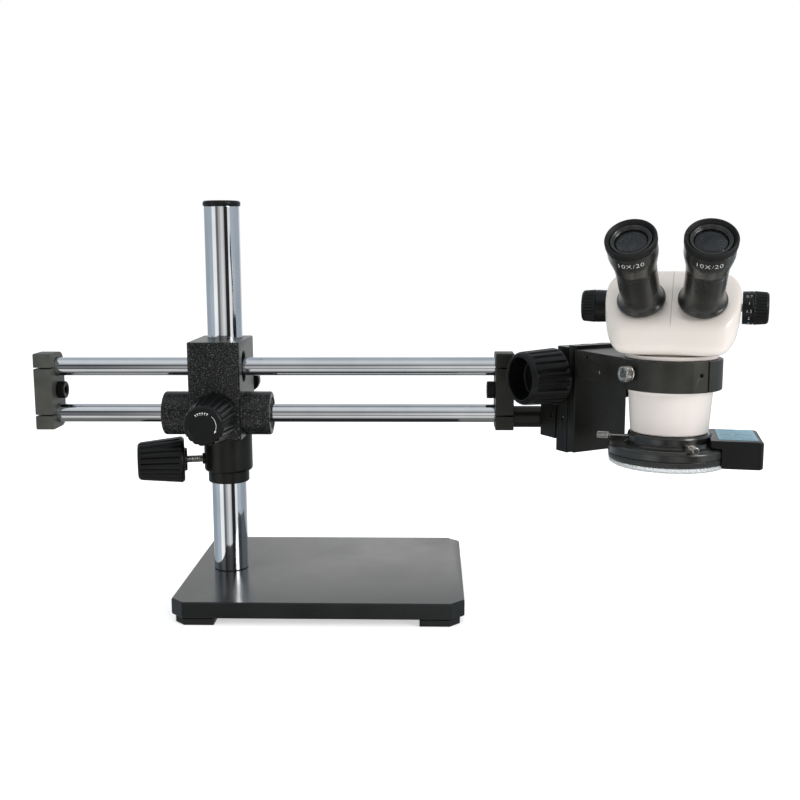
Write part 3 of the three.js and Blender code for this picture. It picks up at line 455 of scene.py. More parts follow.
# Frosted acrylic: milky, its moulded prisms glint at the rim.
acrylic = makeGlass("clear prismatic acrylic", {"tint": "#eef1f2", "through": 0.55, "smear": 3,
                                                "rough": (0.14, 0.3)})
print("materials ready")


# Base, feet and pole
def makeStand():
    softened("baseCasting", "base_plate", 0.5, enamelBlack, "stand", 2, 30)
    for corner in ("front_left", "front_right", "rear_left", "rear_right"):
        softened("foot" + corner.title().replace("_", ""), "foot_" + corner, 0.6, rubberBlack, "stand")
    pole = {"low": 20.8, "high": 358.5, "r": 16}
    bar = rounded([(0, pole["low"]), (pole["r"], pole["low"]), (pole["r"], pole["high"]),
                   (0, pole["high"])], 0.5)
    makePiece("poleShaft", [lathe(bar, 128)], lambda p: onStand(p + [poleX, 0, 0]), hardChrome, "stand",
              ["pole"])
    cap = {"r": 17.1, "low": 358.8, "high": 363.5}
    top = rounded([(0, cap["low"]), (cap["r"] - 0.3, cap["low"]), (cap["r"], cap["high"] - 1.6, 0.6),
                   (cap["r"] - 1.3, cap["high"], 1.2), (14, cap["high"]), (13.4, cap["high"] - 0.4),
                   (0, cap["high"] - 0.4)], 0.4)
    plug = rounded([(0, 346.5), (9, 346.5), (9, 359), (0, 359)], 0.5)
    makePiece("poleTopCap", [lathe(top, 96), lathe(plug, 40)], lambda p: onStand(p + [poleX, 0, 0]),
              mouldedBlack, "stand", ["pole_cap"])


# Hand knobs
handKnob = {"outer": 17.5, "inner": 21.6, "length": 42.3, "count": 20, "deep": 1.35, "narrow": 5}


def ribbedKnob(dish):
    # tapered knob, outer end at 0: radius less a narrow groove, cos(n a) raised to a power, faded at the ends
    k = handKnob

    def grooves(angle, z, r):
        wave = (0.5 + 0.5 * np.cos(k["count"] * angle)) ** k["narrow"]
        return k["deep"] * wave * window(z, 0.6, k["length"] - 2.6, 3.0) * (r > 14.8)
    profile = rounded([
        (0, dish), (13.2, dish, 0.3), (13.7, 0, 0.3), (15.4, 0, 0.8), (k["outer"], 2.2, 1.6),
        (k["inner"] - 0.5, k["length"] - 6, 3), (k["inner"], k["length"] - 2.4, 1.2),
        (k["inner"] - 2, k["length"], 0.8), (11, k["length"]), (10.4, k["length"] + 2.4),
        (0, k["length"] + 2.4)], 0.5, 5)
    return lathe(profile, 240, grooves, 2.2)


def makeCollar():
    b = {"r": 22.4, "stepR": 19, "low": 104.8, "step": 116, "high": 151.6, "bore": 16.3}
    profile = rounded([
        (b["bore"], 130), (b["bore"], b["low"]), (b["stepR"], b["low"], 1.0),
        (b["stepR"], b["step"] - 0.9, 0.4), (b["r"] - 0.9, b["step"] - 0.4, 0.8),
        (b["r"], b["step"] + 1.2, 0.8), (b["r"], b["high"], 1.3), (b["bore"], b["high"]),
        (b["bore"], 130)], 0.6, 5)
    collarPlace = lambda p: onStand(turn(p, 14) + [poleX, 0, 0])
    makePiece("safetyCollar", [lathe(profile, 120)], collarPlace, anodisedBlack, "collar",
              ["safety_collar"])
    z = 126.7
    out = along("x", (-40.5 - handKnob["length"], 0, z))
    makePiece("collarHandKnob", [ribbedKnob(0.6)], lambda p: collarPlace(out(p)), mouldedBlack,
              "collar_clamp", ["collar_knob"])

    # threaded stud: a fine vee thread, its radius dips as a wave of angle plus height over pitch
    pitch, r = 1.25, 3.35
    rod = rounded([(0, -52), (r, -52), (r, -17.5), (0, -17.5)], 0.4)
    thread = lambda angle, height, radius: 0.28 * (0.5 + 0.5 * np.cos(angle + 2 * np.pi * height / pitch)) * (
        radius > 3) * (height > -43) * (height < -19)
    stud = along("x", (0, 0, z))
    makePiece("collarStud", [lathe(rod, 40, thread, 0.16)], lambda p: collarPlace(stud(p)), turnedSteel,
              "collar_clamp", ["collar_screw"])
    # short plain boss that the stud comes out of
    boss = rounded([(0, -24.2), (5.2, -24.2), (5.2, -20), (0, -20)], 0.5)
    makePiece("collarBoss", [lathe(boss, 48)], lambda p: collarPlace(stud(p)), anodisedBlack, "collar", ())


# Boom block
def makeBlock():
    softened("boomCasting", "boom_block", 0.7, hammertone, "boom_carrier", 2, 32, 34)
    lockX, lockZ = -93.2, 173.4
    knobPlace = along("y", (lockX, -56.6 - handKnob["length"], lockZ))
    placed = lambda p: onStand(knobPlace(p))
    stud = rounded([(0, 42), (4, 42), (4, 57.8), (0, 57.8)], 0.4)
    makePiece("lockHandKnob", [ribbedKnob(0.35), lathe(stud, 32)], placed, mouldedBlack, "boom_lock",
              ["lock_knob"])
    # collar that the lock stud screws into
    seat = rounded([(0, 42.9), (9.5, 42.9), (9.5, 46.5), (0, 46.5)], 0.6)
    makePiece("lockSeat", [lathe(seat, 48)], placed, blackSteel, "boom_lock", ())

    # printed arrow and ticks on the knob face: arcs of a circle, widening to a point at the arrow's tip
    ring = {"r": 11.2, "line": 0.35}
    arc = lambda a0, a1, r, n=40: np.stack([r * np.cos(np.radians(np.linspace(a0, a1, n))),
                                            r * np.sin(np.radians(np.linspace(a0, a1, n)))], -1)
    marks = [ribbon(arc(48, -22, ring["r"]), ring["line"])]
    marks.append(ribbon(arc(-22, -34, ring["r"], 8), np.linspace(1.7, 0.05, 8)))
    for start in range(66, 132, 11):
        marks.append(ribbon(arc(start, start + 6, ring["r"], 6), 0.9))
        marks.append(ribbon(arc(start, start + 6, ring["r"] - 1.3, 6), 0.3))
    lifted = [(p + [0, 0, 0.31], f) for p, f in marks]

    # the face looks along -y: x stays, the print's y becomes z
    def onFace(p):
        return onStand(np.stack([p[:, 0], -p[:, 2], p[:, 1]], -1) + [lockX, -98.6, lockZ])
    makePiece("lockKnobPrint", lifted, onFace, inkWhite, "boom_lock", (), closed=False)

    k = {"r": 11.5, "count": 14, "deep": 0.6}
    profile = rounded([(0, -12), (3, -12), (3, 0.3), (6, 0.3), (6, 3), (k["r"] - 0.6, 3), (k["r"], 4.4),
                       (k["r"], 12), (k["r"] - 1.6, 14), (0, 14)], 0.5, 4)
    scallops = lambda a, z, r: k["deep"] * (0.5 + 0.5 * np.cos(k["count"] * a)) * window(z, 3.6, 12.6,
        1.4) * (r > 9)
    rear = along("y", (-78, 29, 195))
    makePiece("rearLockKnob", [lathe(profile, 140, scallops, 1.2)], lambda p: onStand(rear(p)),
              mouldedBlack, "rear_lock", ["rear_knob"])

    # wiper seals in the mouths of the bearing sleeve
    for name, x, flip in (("left", -142.2, 1), ("right", -45.4, -1)):
        seal = rounded([(8.7, 1.5), (8.7, 0.9), (13.6, 0.5), (14.2, 0.9), (14.2, 2.4), (8.7, 2.4),
                        (8.7, 1.5)], 0.25)
        lay = along("x", (x, rodY, lowerZ), flip)
        makePiece("rodSeal" + name.title(), [lathe(seal, 72)], lambda p: onStand(lay(p)), rubberBlack,
                  "boom_carrier", ())


# Boom
def makeBoom():
    r, x0, x1 = 8.25, -251.6, 162.4
    bar = rounded([(0, x0), (r, x0), (r, x1), (0, x1)], 0.5)
    for name, node, z in (("boomRodUpper", "upper_rod", upperZ), ("boomRodLower", "lower_rod", lowerZ)):
        lay = along("x", (0, rodY, z))
        makePiece(name, [lathe(bar, 96)], lambda p: onStand(lay(p)), hardChrome, "boom", [node])
    for side in ("left", "right"):
        # the left end block takes the paler copy of the anodising, painted light for its lit face
        softened("endBlock" + side.title(), "end_block_" + side, 0.45,
                 {"left": anodisedPaintedLight, "right": anodisedGrey}[side], "boom", 2, 35)

    # socket head screw: straight knurl round the head, six-sided socket in its end
    head = {"r": 7.7, "length": 7.2, "shank": 4.6, "count": 44, "socket": 3.9}
    sixSides = lambda a: head["socket"] * np.cos(np.pi / 6) / np.cos((a % (np.pi / 3)) - np.pi / 6)
    profile = rounded([(0, -10), (head["shank"], -10), (head["shank"], 0.3), (head["r"], 0.3, 0.3),
                       (head["r"], head["length"], 0.9), (5.4, head["length"], 0.2),
                       (4.9, head["length"] - 0.4, 0.2)], 0.4)
    knurl = lambda a, z, r: 0.16 * (0.5 + 0.5 * np.cos(head["count"] * a)) * window(z, 0.6, 6.2,
        0.5) * (r > 6.5)
    outer = lathe(profile, 264, knurl, 1.0)
    angle = np.linspace(0, 2 * np.pi, 264, endpoint=False)[None, :]
    depth = np.array([head["length"] - 0.4, head["length"] - 0.6, 3.6, 3.2])[:, None] + 0 * angle
    radius = np.concatenate([4.9 + 0 * angle, sixSides(angle), sixSides(angle), 0 * angle])
    socket = gridSurface(np.stack([radius * np.cos(angle), radius * np.sin(angle), depth], -1))
    for name, x, flip in (("left", -239.6, 1), ("right", 155.4, -1)):
        lay = along("x", (x, rodY, 194.7), flip)
        makePiece("endCapScrew" + name.title(), [outer, socket], lambda p: onStand(lay(p)), blackSteel,
                  "boom", ["end_screw_" + name], 34)

    pin = rounded([(0, 163.4), (7.8, 163.4), (7.8, 171.7, 0.1), (9.6, 171.7, 0.5), (9.6, 198.6, 1.0),
                   (5.0, 199.7, 0.4), (5.0, 206.8), (0, 206.8)], 0.5)
    lay = along("x", (0, rodY, 170.5))
    makePiece("boomEndPin", [lathe(pin, 96)], lambda p: onStand(lay(p)), anodisedBlack, "boom",
              ["boom_end_pin"])
    hub = rounded([(3.3, 169), (3.3, 162), (11, 162), (11, 178.5), (3.3, 178.5), (3.3, 169)], 0.7)
    makePiece("swivelBarrel", [lathe(hub, 72)], lambda p: onStand(p + [211, rodY, 0]), anodisedBlack,
              "swivel", ["swivel_hub"])


# Focus mount
def makeMount():
    softened("swivelBracket", "mount_bracket", 0.5, anodisedBlack, "focus_mount", 2, 35)
    softened("focusCarrier", "focus_block", 0.5, anodisedBlack, "focus_mount", 2, 35)
    softened("slideFront", "slide_plate", 0.5, anodisedBlack, "focus_slide", 2, 35)
    # the holder arm takes the greyer copy of the anodising, painted sheen
    softened("headHolder", "holder_arm", 0.6, anodisedPaintedSheen, "focus_slide", 2, 35)

    # focus knob: broad ribs, their width set by a squared-off wave, round a deep two-lipped cup
    k = {"start": 34, "end": 72, "r": 24.0, "endR": 22.4, "cup": 17.6, "deep": 17, "count": 20, "cut": 1.5}

    def flutes(angle, z, r):
        wave = 1 / (1 + np.exp(-7 * (np.cos(k["count"] * angle) - 0.15)))
        return k["cut"] * wave * window(z, k["start"] + 2.2, k["end"] - 3.4, 2.4) * (r > k["cup"] + 3)
    profile = rounded([
        (3.8, k["start"] + 2), (9, k["start"] + 2), (9, k["start"] - 2.6), (15, k["start"] - 2.6),
        (15, k["start"]), (k["r"] - 1.8, k["start"], 0.8), (k["r"], k["start"] + 1.8, 1.2),
        (k["r"] - 0.4, k["start"] + 9, 2), (k["endR"], k["end"] - 2.8, 1.6),
        (k["endR"] - 1.9, k["end"] - 0.4, 0.8), (k["endR"] - 2.6, k["end"] - 1.0, 0.3),
        (k["endR"] - 3.2, k["end"] - 0.2, 0.3), (k["cup"] + 0.6, k["end"] - 0.2, 0.4),
        (k["cup"], k["end"] - 1.4, 0.6), (k["cup"] - 0.9, k["end"] - k["deep"], 1.6),
        (10.5, k["end"] - k["deep"], 0.5), (10, k["end"] - k["deep"] + 0.8, 0.4),
        (0, k["end"] - k["deep"] + 0.8)], 0.4, 4)
    shell = lathe(profile, 320, flutes, 2.2)
    for name, flip in (("left", -1), ("right", 1)):
        lay = along("x", (0, 102.4, 212.6), flip)
        makePiece("focusKnob" + name.title(), [shell], lambda p: onMount(lay(p)), mouldedBlack,
                  "focus_drive", ["focus_knob_" + name])

    # thumbscrew of the clamp ring: straight knurl, dished face
    s = {"r": 6, "count": 36, "deep": 0.34}
    profile = rounded([(0, 34.3), (1.9, 34.3), (1.9, 40.2), (4.2, 40.4), (4.2, 41.5), (s["r"], 41.8),
                       (s["r"], 48.4), (s["r"] - 0.9, 49), (4, 48.9), (3.4, 48.4), (0, 48.3)], 0.3, 4)
    knurl = lambda a, z, r: s["deep"] * (0.5 + 0.5 * np.cos(s["count"] * a)) * window(z, 41.9, 48.5,
        0.5) * (r > 5)
    lay = along("x", (0, 0, 226), -1)
    makePiece("ringThumbscrew", [lathe(profile, 288, knurl, 0.8)], lambda p: onMount(lay(p)), nickelBright,
              "holder_screw", ["ring_screw"])

    # grub screw in the arm's side, and the cross-bolt that draws the clamp ring shut
    def grub(at, axis, flip, r, name, body):
        ring = rounded([(0, -1.4), (r * 0.5, -1.4, 0.2), (r * 0.56, -0.3, 0.2), (r * 0.9, 0.0, 0.2),
                        (r, -0.5), (r, -3), (0, -3)], 0.2)
        place = along(axis, at, flip)
        makePiece(name, [lathe(ring, 36)], lambda p: onMount(place(p)), turnedSteel, body, ())
    grub((1.6 - holderEdge(49), 49, 221), "x", -1, 2.0, "armGrubScrew", "focus_slide")
    grub((-28.2 + 1.5, 100.5, 176.5), "x", -1, 1.4, "gibScrewFront", "focus_mount")
    grub((-28.2 + 2.5, 117, 176.5), "x", -1, 1.8, "gibScrewRear", "focus_mount")


def holderEdge(y):
    # half width of the arm at a distance y behind the optical axis
    return 28 + (35.6 - 28) * (83.7 - y) / (83.7 - 15.7)


# Head
def makeHead():
    # Soft convex casting. Its distance from the middle along a direction d is the power mean of the
    # distances to its flat sides: r = (sum (n.d / h)^p)^(-1/p), so every edge and corner is eased.
    # The grid runs from the top down to the mouth over the cone, then back up inside at the wall's depth.
    shell = {
        "middle": (0, -3, 268), "power": 17, "wall": 2.6, "mouth": 31.2, "mouthZ": 240.0,
        "sides": [
            ((0, -1, 0), (0, -40.2, 0)), ((0, -1, 1), (0, -2.7, 302.3)), ((0, 0, 1), (0, 0, 302.3)),
            ((0, 1, 0), (0, 34, 0)), ((1, 0, 0), (50.4, 0, 0)), ((-1, 0, 0), (-50.4, 0, 0)),
            ((0, 0, -1), (0, 0, 240.0)), ((0, 1, -1), (0, 30, 244)), ((0, -1, -1.6), (0, -38.5, 243.5)),
            ((0.93, 0, -0.36), (48.6, 0, 253)), ((-0.93, 0, -0.36), (-48.6, 0, 253)),
            ((0.62, 0, -0.78), (43.5, 0, 244.3)), ((-0.62, 0, -0.78), (-43.5, 0, 244.3)),
            ((0.86, 0.3, 0.42), (47.8, 8, 292)), ((-0.86, 0.3, 0.42), (-47.8, 8, 292)),
            ((0.62, 0.2, 0.75), (43.5, 6, 300)), ((-0.62, 0.2, 0.75), (-43.5, 6, 300)),
            ((0.72, 0.7, 0), (36.5, 23.5, 0)), ((-0.72, 0.7, 0), (-36.5, 23.5, 0)),
            ((0.75, -0.66, 0), (45.6, -33.2, 0)), ((-0.75, -0.66, 0), (-45.6, -33.2, 0))]}
    middle = np.array(shell["middle"], float)
    phi = np.linspace(0, 2 * np.pi, 360, endpoint=False)[None, :]
    across = np.sqrt(shell["mouth"] ** 2 - (middle[1] * np.cos(phi)) ** 2) - middle[1] * np.sin(phi)
    lowest = np.pi - np.arctan(across / (middle[2] - shell["mouthZ"]))
    theta = np.linspace(0, 1, 170)[:, None] * lowest
    d = np.stack([np.sin(theta) * np.cos(phi), np.sin(theta) * np.sin(phi), np.cos(theta)], -1)
    normals = np.array([s[0] for s in shell["sides"]], float)
    normals /= np.linalg.norm(normals, axis=1)[:, None]
    reach = ((np.array([s[1] for s in shell["sides"]], float) - middle) * normals).sum(1)
    share = np.maximum(d @ normals.T, 0) / reach
    distance = (share ** shell["power"]).sum(-1) ** (-1 / shell["power"])
    distance[0], depth = distance[0].mean(), distance - shell["wall"]
    skin = np.concatenate([d * distance[..., None], (d * depth[..., None])[::-1]])
    makePiece("headCasting", [gridSurface(middle + skin)], onHead, headEnamel, "head", ["head_housing"],
              60)

    # objective cone: a turned shell, its wall kept, with the lens seat at the bottom and a thin skirt
    # that stands up into the head casting's mouth
    profile = rounded([
        (22.6, 172), (22.6, 168.4), (26, 168.4), (26, 178.3), (28.8, 178.3, 0.5), (30.0, 179.2, 0.7),
        (32.3, 210.0, 1.0), (33.6, 211.6, 0.6), (33.6, 236.9, 0.2), (35.4, 236.9, 0.5), (35.4, 239.8),
        (29.0, 239.8, 0.2), (29.0, 241.8, 0.3), (27.9, 241.8, 0.3), (27.9, 236.5), (30.2, 233.5),
        (30.2, 211), (26.8, 182), (21.4, 181), (21.4, 178), (18.4, 178), (18.4, 176.4), (20.4, 176.3),
        (20.4, 172), (22.6, 172)], 0.4, 4)
    makePiece("objectiveCone", [lathe(profile, 128)], onHead, enamelWhite, "head", ["objective_housing"])
    front = rounded([(0, 171.2), (14, 170.5), (20, 170.2, 0.3), (20, 174.5, 0.6), (12, 176.6, 3),
                     (0, 177.2)], 0.6, 5)
    makePiece("objectiveFrontLens", [lathe(front, 72)], onHead, objectiveGlass, "head", ["objective_lens"])
    adaptor = rounded([(26.3, 172), (26.3, 167), (28.6, 167), (28.6, 178), (26.3, 178), (26.3, 172)], 0.3)
    makePiece("lightAdaptor", [lathe(adaptor, 96)], onHead, lacquerBlack, "head", ["light_adaptor"])

    # zoom knobs: plain dial band inside, fine ribs outside
    k = {"start": 50.95, "end": 70.3, "r": 12.75, "endR": 12.1, "count": 30, "deep": 0.75}
    ribs = lambda a, z, r: k["deep"] * (0.5 + 0.5 * np.cos(k["count"] * a)) ** 1.6 * window(z, 59.2, 68.6,
        1.2) * (r > 10)
    profile = rounded([
        (3.3, k["start"]), (k["r"] - 0.3, k["start"], 0.4), (k["r"], 58.4, 0.4), (k["r"] - 0.5, 58.9, 0.2),
        (k["r"] + 0.1, 59.4, 0.3), (k["endR"], k["end"] - 1.6, 0.8), (k["endR"] - 1.4, k["end"] - 0.3, 0.6),
        (8.5, k["end"] - 0.2, 0.3), (8.1, k["end"] - 0.6, 0.3), (0, k["end"] - 0.6)], 0.4, 4)
    dial = lathe(profile, 300, ribs, 1.0)
    for name, flip in (("left", -1), ("right", 1)):
        lay = along("x", (0, 3, 275.3), flip)
        makePiece("zoomDial" + name.title(), [dial], lambda p: onHead(lay(p)), mouldedBlack, "zoom_drive",
                  ["zoom_knob_" + name])

    # zoom scale: figures wrapped round the dial band, x becomes the way round the shaft
    figures = [(text, -90 + i * 27) for i, text in enumerate(("4", "3", "2", "1.5", "1", "0.7", "."))]
    wrapped = []
    for text, at in figures:
        verts, faces = lettering(text, 3.3)
        a = math.radians(at) + verts[:, 1] / k["r"]
        radius = k["r"] + 0.04
        x = 55.6 + verts[:, 0]
        wrapped.append((np.stack([x, 3 - radius * np.cos(a), 275.3 + radius * np.sin(a)], -1), faces))
    makePiece("zoomFigures", wrapped, onHead, inkWhite, "zoom_drive", (), closed=False)


def makeEyepieces():
    t = {"bore": 12.4, "r": 15.0, "ring": 18.2}
    e = {"r": 15.25, "top": 18.1, "end": 62.0}
    tube = rounded([
        (t["bore"], 20), (t["bore"], 1.9), (t["ring"] - 0.9, 1.9, 0.3), (t["ring"], 2.6, 0.5),
        (t["ring"], 4.9, 0.8), (16.6, 6.4, 0.9), (15.6, 9.2, 2.0), (15.05, 13.5, 2.5), (t["r"], 20, 1),
        (t["r"], 36.5, 0.4), (t["bore"], 36.5), (t["bore"], 20)], 0.4, 5)
    body = rounded([
        (10, 40), (10, 23), (12, 23), (12, 37), (e["r"], 37, 0.4), (e["r"], 40.5, 3), (17.6, 50.5, 3),
        (e["top"], 53.5, 1.5), (e["top"], e["end"], 0.4), (14, e["end"]), (14, 60), (10, 60), (10, 40)],
                   0.4, 5)
    cup = rounded([
        (14.9, 64), (14.9, 62.4), (18.2, 62.3, 0.4), (18.7, 63.4, 0.5), (18.8, 67.6, 1.0),
        (18.1, 69.0, 0.8), (17.2, 69.0, 0.7), (16.2, 67.4, 0.6), (15.2, 65.6, 0.5), (14.9, 65.0, 0.2),
        (14.9, 64)], 0.4, 5)
    # stepped black stop round the lens, the bright ring that holds it, and the darker field stop behind
    stop = rounded([
        (11.9, 64), (11.9, 62.4), (14.8, 62.4), (14.8, 66.6), (13.9, 66.9, 0.3), (13.5, 66.2, 0.2),
        (12.9, 66.0, 0.2), (12.7, 65.3, 0.2), (12.3, 65.1, 0.2), (11.9, 64.6, 0.2), (11.9, 64)], 0.2, 3)
    inner = rounded([(6.2, 60), (6.2, 58.6), (9.7, 58.6), (9.7, 61.6), (9.1, 61.0, 0.2), (8.5, 61.1, 0.2),
                     (7.8, 60.3, 0.3), (7.0, 60.4, 0.2), (6.2, 60)], 0.2)
    field = rounded([(0, 41), (9.7, 41), (9.7, 41.8), (0, 41.8)], 0.2)
    rise = np.linspace(0, 1, 14)
    crown = np.stack([11.85 * np.sqrt(1 - rise ** 2), 63.6 + 2.2 * rise], -1)
    lens = np.concatenate([[[0, 62.5]], [[11.3, 62.5]], [[11.85, 63.0]], crown])
    for name, side in (("left", -1), ("right", 1)):
        place, ocular = onTube(side), "ocular_" + name
        makePiece("eyeTube" + name.title(), [lathe(tube, 112)], place, lacquerBlack, "tube_" + name,
                  ["eye_tube_" + name])
        makePiece("eyepieceBody" + name.title(), [lathe(body, 112)], place, lacquerBlack, ocular,
                  ["eyepiece_" + name])
        makePiece("eyecupRubber" + name.title(), [lathe(cup, 112)], place, rubberBlack, ocular,
                  ["eyecup_" + name])
        makePiece("eyeStop" + name.title(), [lathe(stop, 96)], place, lacquerBlack, ocular, ())
        makePiece("fieldRing" + name.title(), [lathe(inner, 72)], place, turnedSteel, ocular, ())
        makePiece("fieldStop" + name.title(), [lathe(field, 48)], place, rubberBlack, ocular, ())
        makePiece("eyeLens" + name.title(), [lathe(lens, 96)], place, coatedGlass, ocular,
                  ["eye_lens_" + name])
        # power and field number: laid on the band, x runs round it and y up it, on the side facing down
        verts, faces = lettering("10X/20", 5.3)
        height = 56.9 + verts[:, 1]
        radius = e["top"] + 0.05
        a = verts[:, 0] * 1.15 / e["top"]
        wrapped = np.stack([radius * np.sin(a), -radius * np.cos(a), height], -1)
        makePiece("eyepieceFigures" + name.title(), [(wrapped, faces)], place, inkWhite, ocular, (),
                  closed=False)


# Ring light
def makeRingLight():
    h = {"bore": 29, "neck": 31.8, "r": 46.9, "low": 157.3, "shoulder": 169.4, "high": 177.8, "teeth": 150}
    profile = rounded([
        (h["bore"], 170), (h["bore"], h["low"]), (30.1, h["low"]), (30.1, 165), (45.5, 165),
        (45.5, h["low"]), (h["r"] - 0.5, h["low"], 0.3), (h["r"] - 0.2, 161.4, 0.3),
        (h["r"] - 0.9, 161.8, 0.2), (h["r"], 162.3, 0.3), (h["r"], 167.6, 1.4), (44.7, h["shoulder"], 1.0),
        (36, h["shoulder"] + 0.05, 0.4), (h["neck"], 171.6, 0.6), (h["neck"], 176.0, 0.5),
        (31.0, h["high"], 0.7), (h["bore"], h["high"], 0.4), (h["bore"], 170)], 0.4, 4)
    teeth = lambda a, z, r: 0.32 * (0.5 + 0.5 * np.cos(h["teeth"] * a)) * window(z, 157.5, 161.5,
        0.5) * (r > 45.9)
    makePiece("ringLightShell", [lathe(profile, 900, teeth, 3)], onLamp, lacquerBlack, "ring_light",
              ["ring_light_housing"])
    profile = rounded([
        (31.3, 156), (31.3, 152.9), (44.2, 152.9, 0.8), (46.2, 154.6, 0.5), (46.2, 157.0, 0.3),
        (44.9, 157.0), (44.9, 160), (31.3, 160), (31.3, 156)], 0.4, 4)
    prisms = lambda a, z, r: 0.45 * np.abs(((a * 90 / np.pi) % 2) - 1) * window(z, 153.0, 156.9,
        0.6) * (r > 43)
    makePiece("prismDiffuser", [lathe(profile, 720, prisms, 1.2)], onLamp, acrylic, "ring_light",
              ["light_diffuser"])

    # two rings of diodes: one small rounded block repeated by angle, standing under the board
    led = {"rings": ((35.2, 26), (41.2, 32)), "size": (2.6, 2.2), "z": 160.5}
    block = slab(led["size"][0], led["size"][1], 0.9, 0.3, 0.15)
    parts = []
    for r, count in led["rings"]:
        for angle in np.linspace(0, 360, count, endpoint=False):
            parts.append((turn(block[0] * [1, 1, -1] + [r, 0, led["z"]], angle), block[1]))
    makePiece("diodeRings", parts, onLamp, ledPhosphor, "ring_light", ())

    # clamp screws: thin stud, knurled head with a dished end
    s = {"tip": 29.2, "r": 1.3, "head": 46.5, "end": 56.0, "headR": 2.8, "count": 22}
    profile = rounded([(0, s["tip"]), (s["r"], s["tip"]), (s["r"], s["head"] - 1.6),
                       (1.9, s["head"] - 1.4), (1.9, s["head"]), (s["headR"], s["head"] + 0.2),
                       (s["headR"], s["end"] - 0.5), (s["headR"] - 0.6, s["end"]), (0, s["end"])], 0.25, 3)
    knurl = lambda a, z, r: 0.26 * (0.5 + 0.5 * np.cos(s["count"] * a)) * window(z, s["head"] + 0.3,
        s["end"] - 0.4, 0.4) * (r > 2.2)
    for name, angle in (("left", 165), ("front", 278), ("rear", 45)):
        lay = along("x", (0, 0, 172.6))
        makePiece("lightClampScrew" + name.title(), [lathe(profile, 132, knurl, 1.0)],
                  lambda p: onLamp(turn(lay(p), angle)), nickelBright, "light_clamp_" + name,
                  ["light_screw_" + name])


def makePowerBox():
    softened("powerCase", "power_box", 1.3, mouldedBlack, "ring_light", 3, 40)
    label = {"centre": (50.8, 1.5), "size": (29, 46), "z": 176.32}
    plate = slab(label["size"][0], label["size"][1], 0.22, 1.0, 0.08)
    makePiece("caseLabel", [(plate[0] + [*label["centre"], label["z"]], plate[1])], onBox, paperBlue,
              "ring_light", ())
    # generic rules and blocks on the label, no words
    bars = []
    for y, x0, x1, w in ((-19, -12, -1, 1.6), (-19, 2, 12, 1.6), (-14.5, -12, 11, 0.6),
                         (-11.5, -12, 6, 0.6), (-8.5, -12, 12, 0.6), (-5.5, -12, 3, 0.6),
                         (0, -12, -4, 2.2), (0, 0, 12, 2.2), (6, -12, 10, 0.7), (9.5, -12, 4, 0.7),
                         (13, -12, 12, 0.7), (18.5, -12, 0, 1.8)):
        path = np.stack([np.array([x0, x1], float), np.full(2, y)], -1) + label["centre"]
        strip = ribbon(path, w)
        bars.append((strip[0] + [0, 0, label["z"] + 0.26], strip[1]))
    makePiece("caseLabelLines", bars, onBox, inkBlue, "ring_light", (), closed=False)


# Materials of the CAD pieces that stay as they are
def dressNodes():
    plain = {
        "pole_bolt": turnedSteel, "bearing_left": bearingSteel, "bearing_right": bearingSteel,
        "guide_liner": linerBlack, "swivel_bolt": blackSteel, "focus_shaft": turnedSteel,
        "focus_rack": brassRack, "zoom_shaft": turnedSteel, "zoom_carriage": anodisedBlack,
        "led_board": solderMask, "power_inlet": turnedSteel}
    for name, material in plain.items():
        mesh = nodes[name].data
        mesh.materials.clear()
        mesh.materials.append(material)


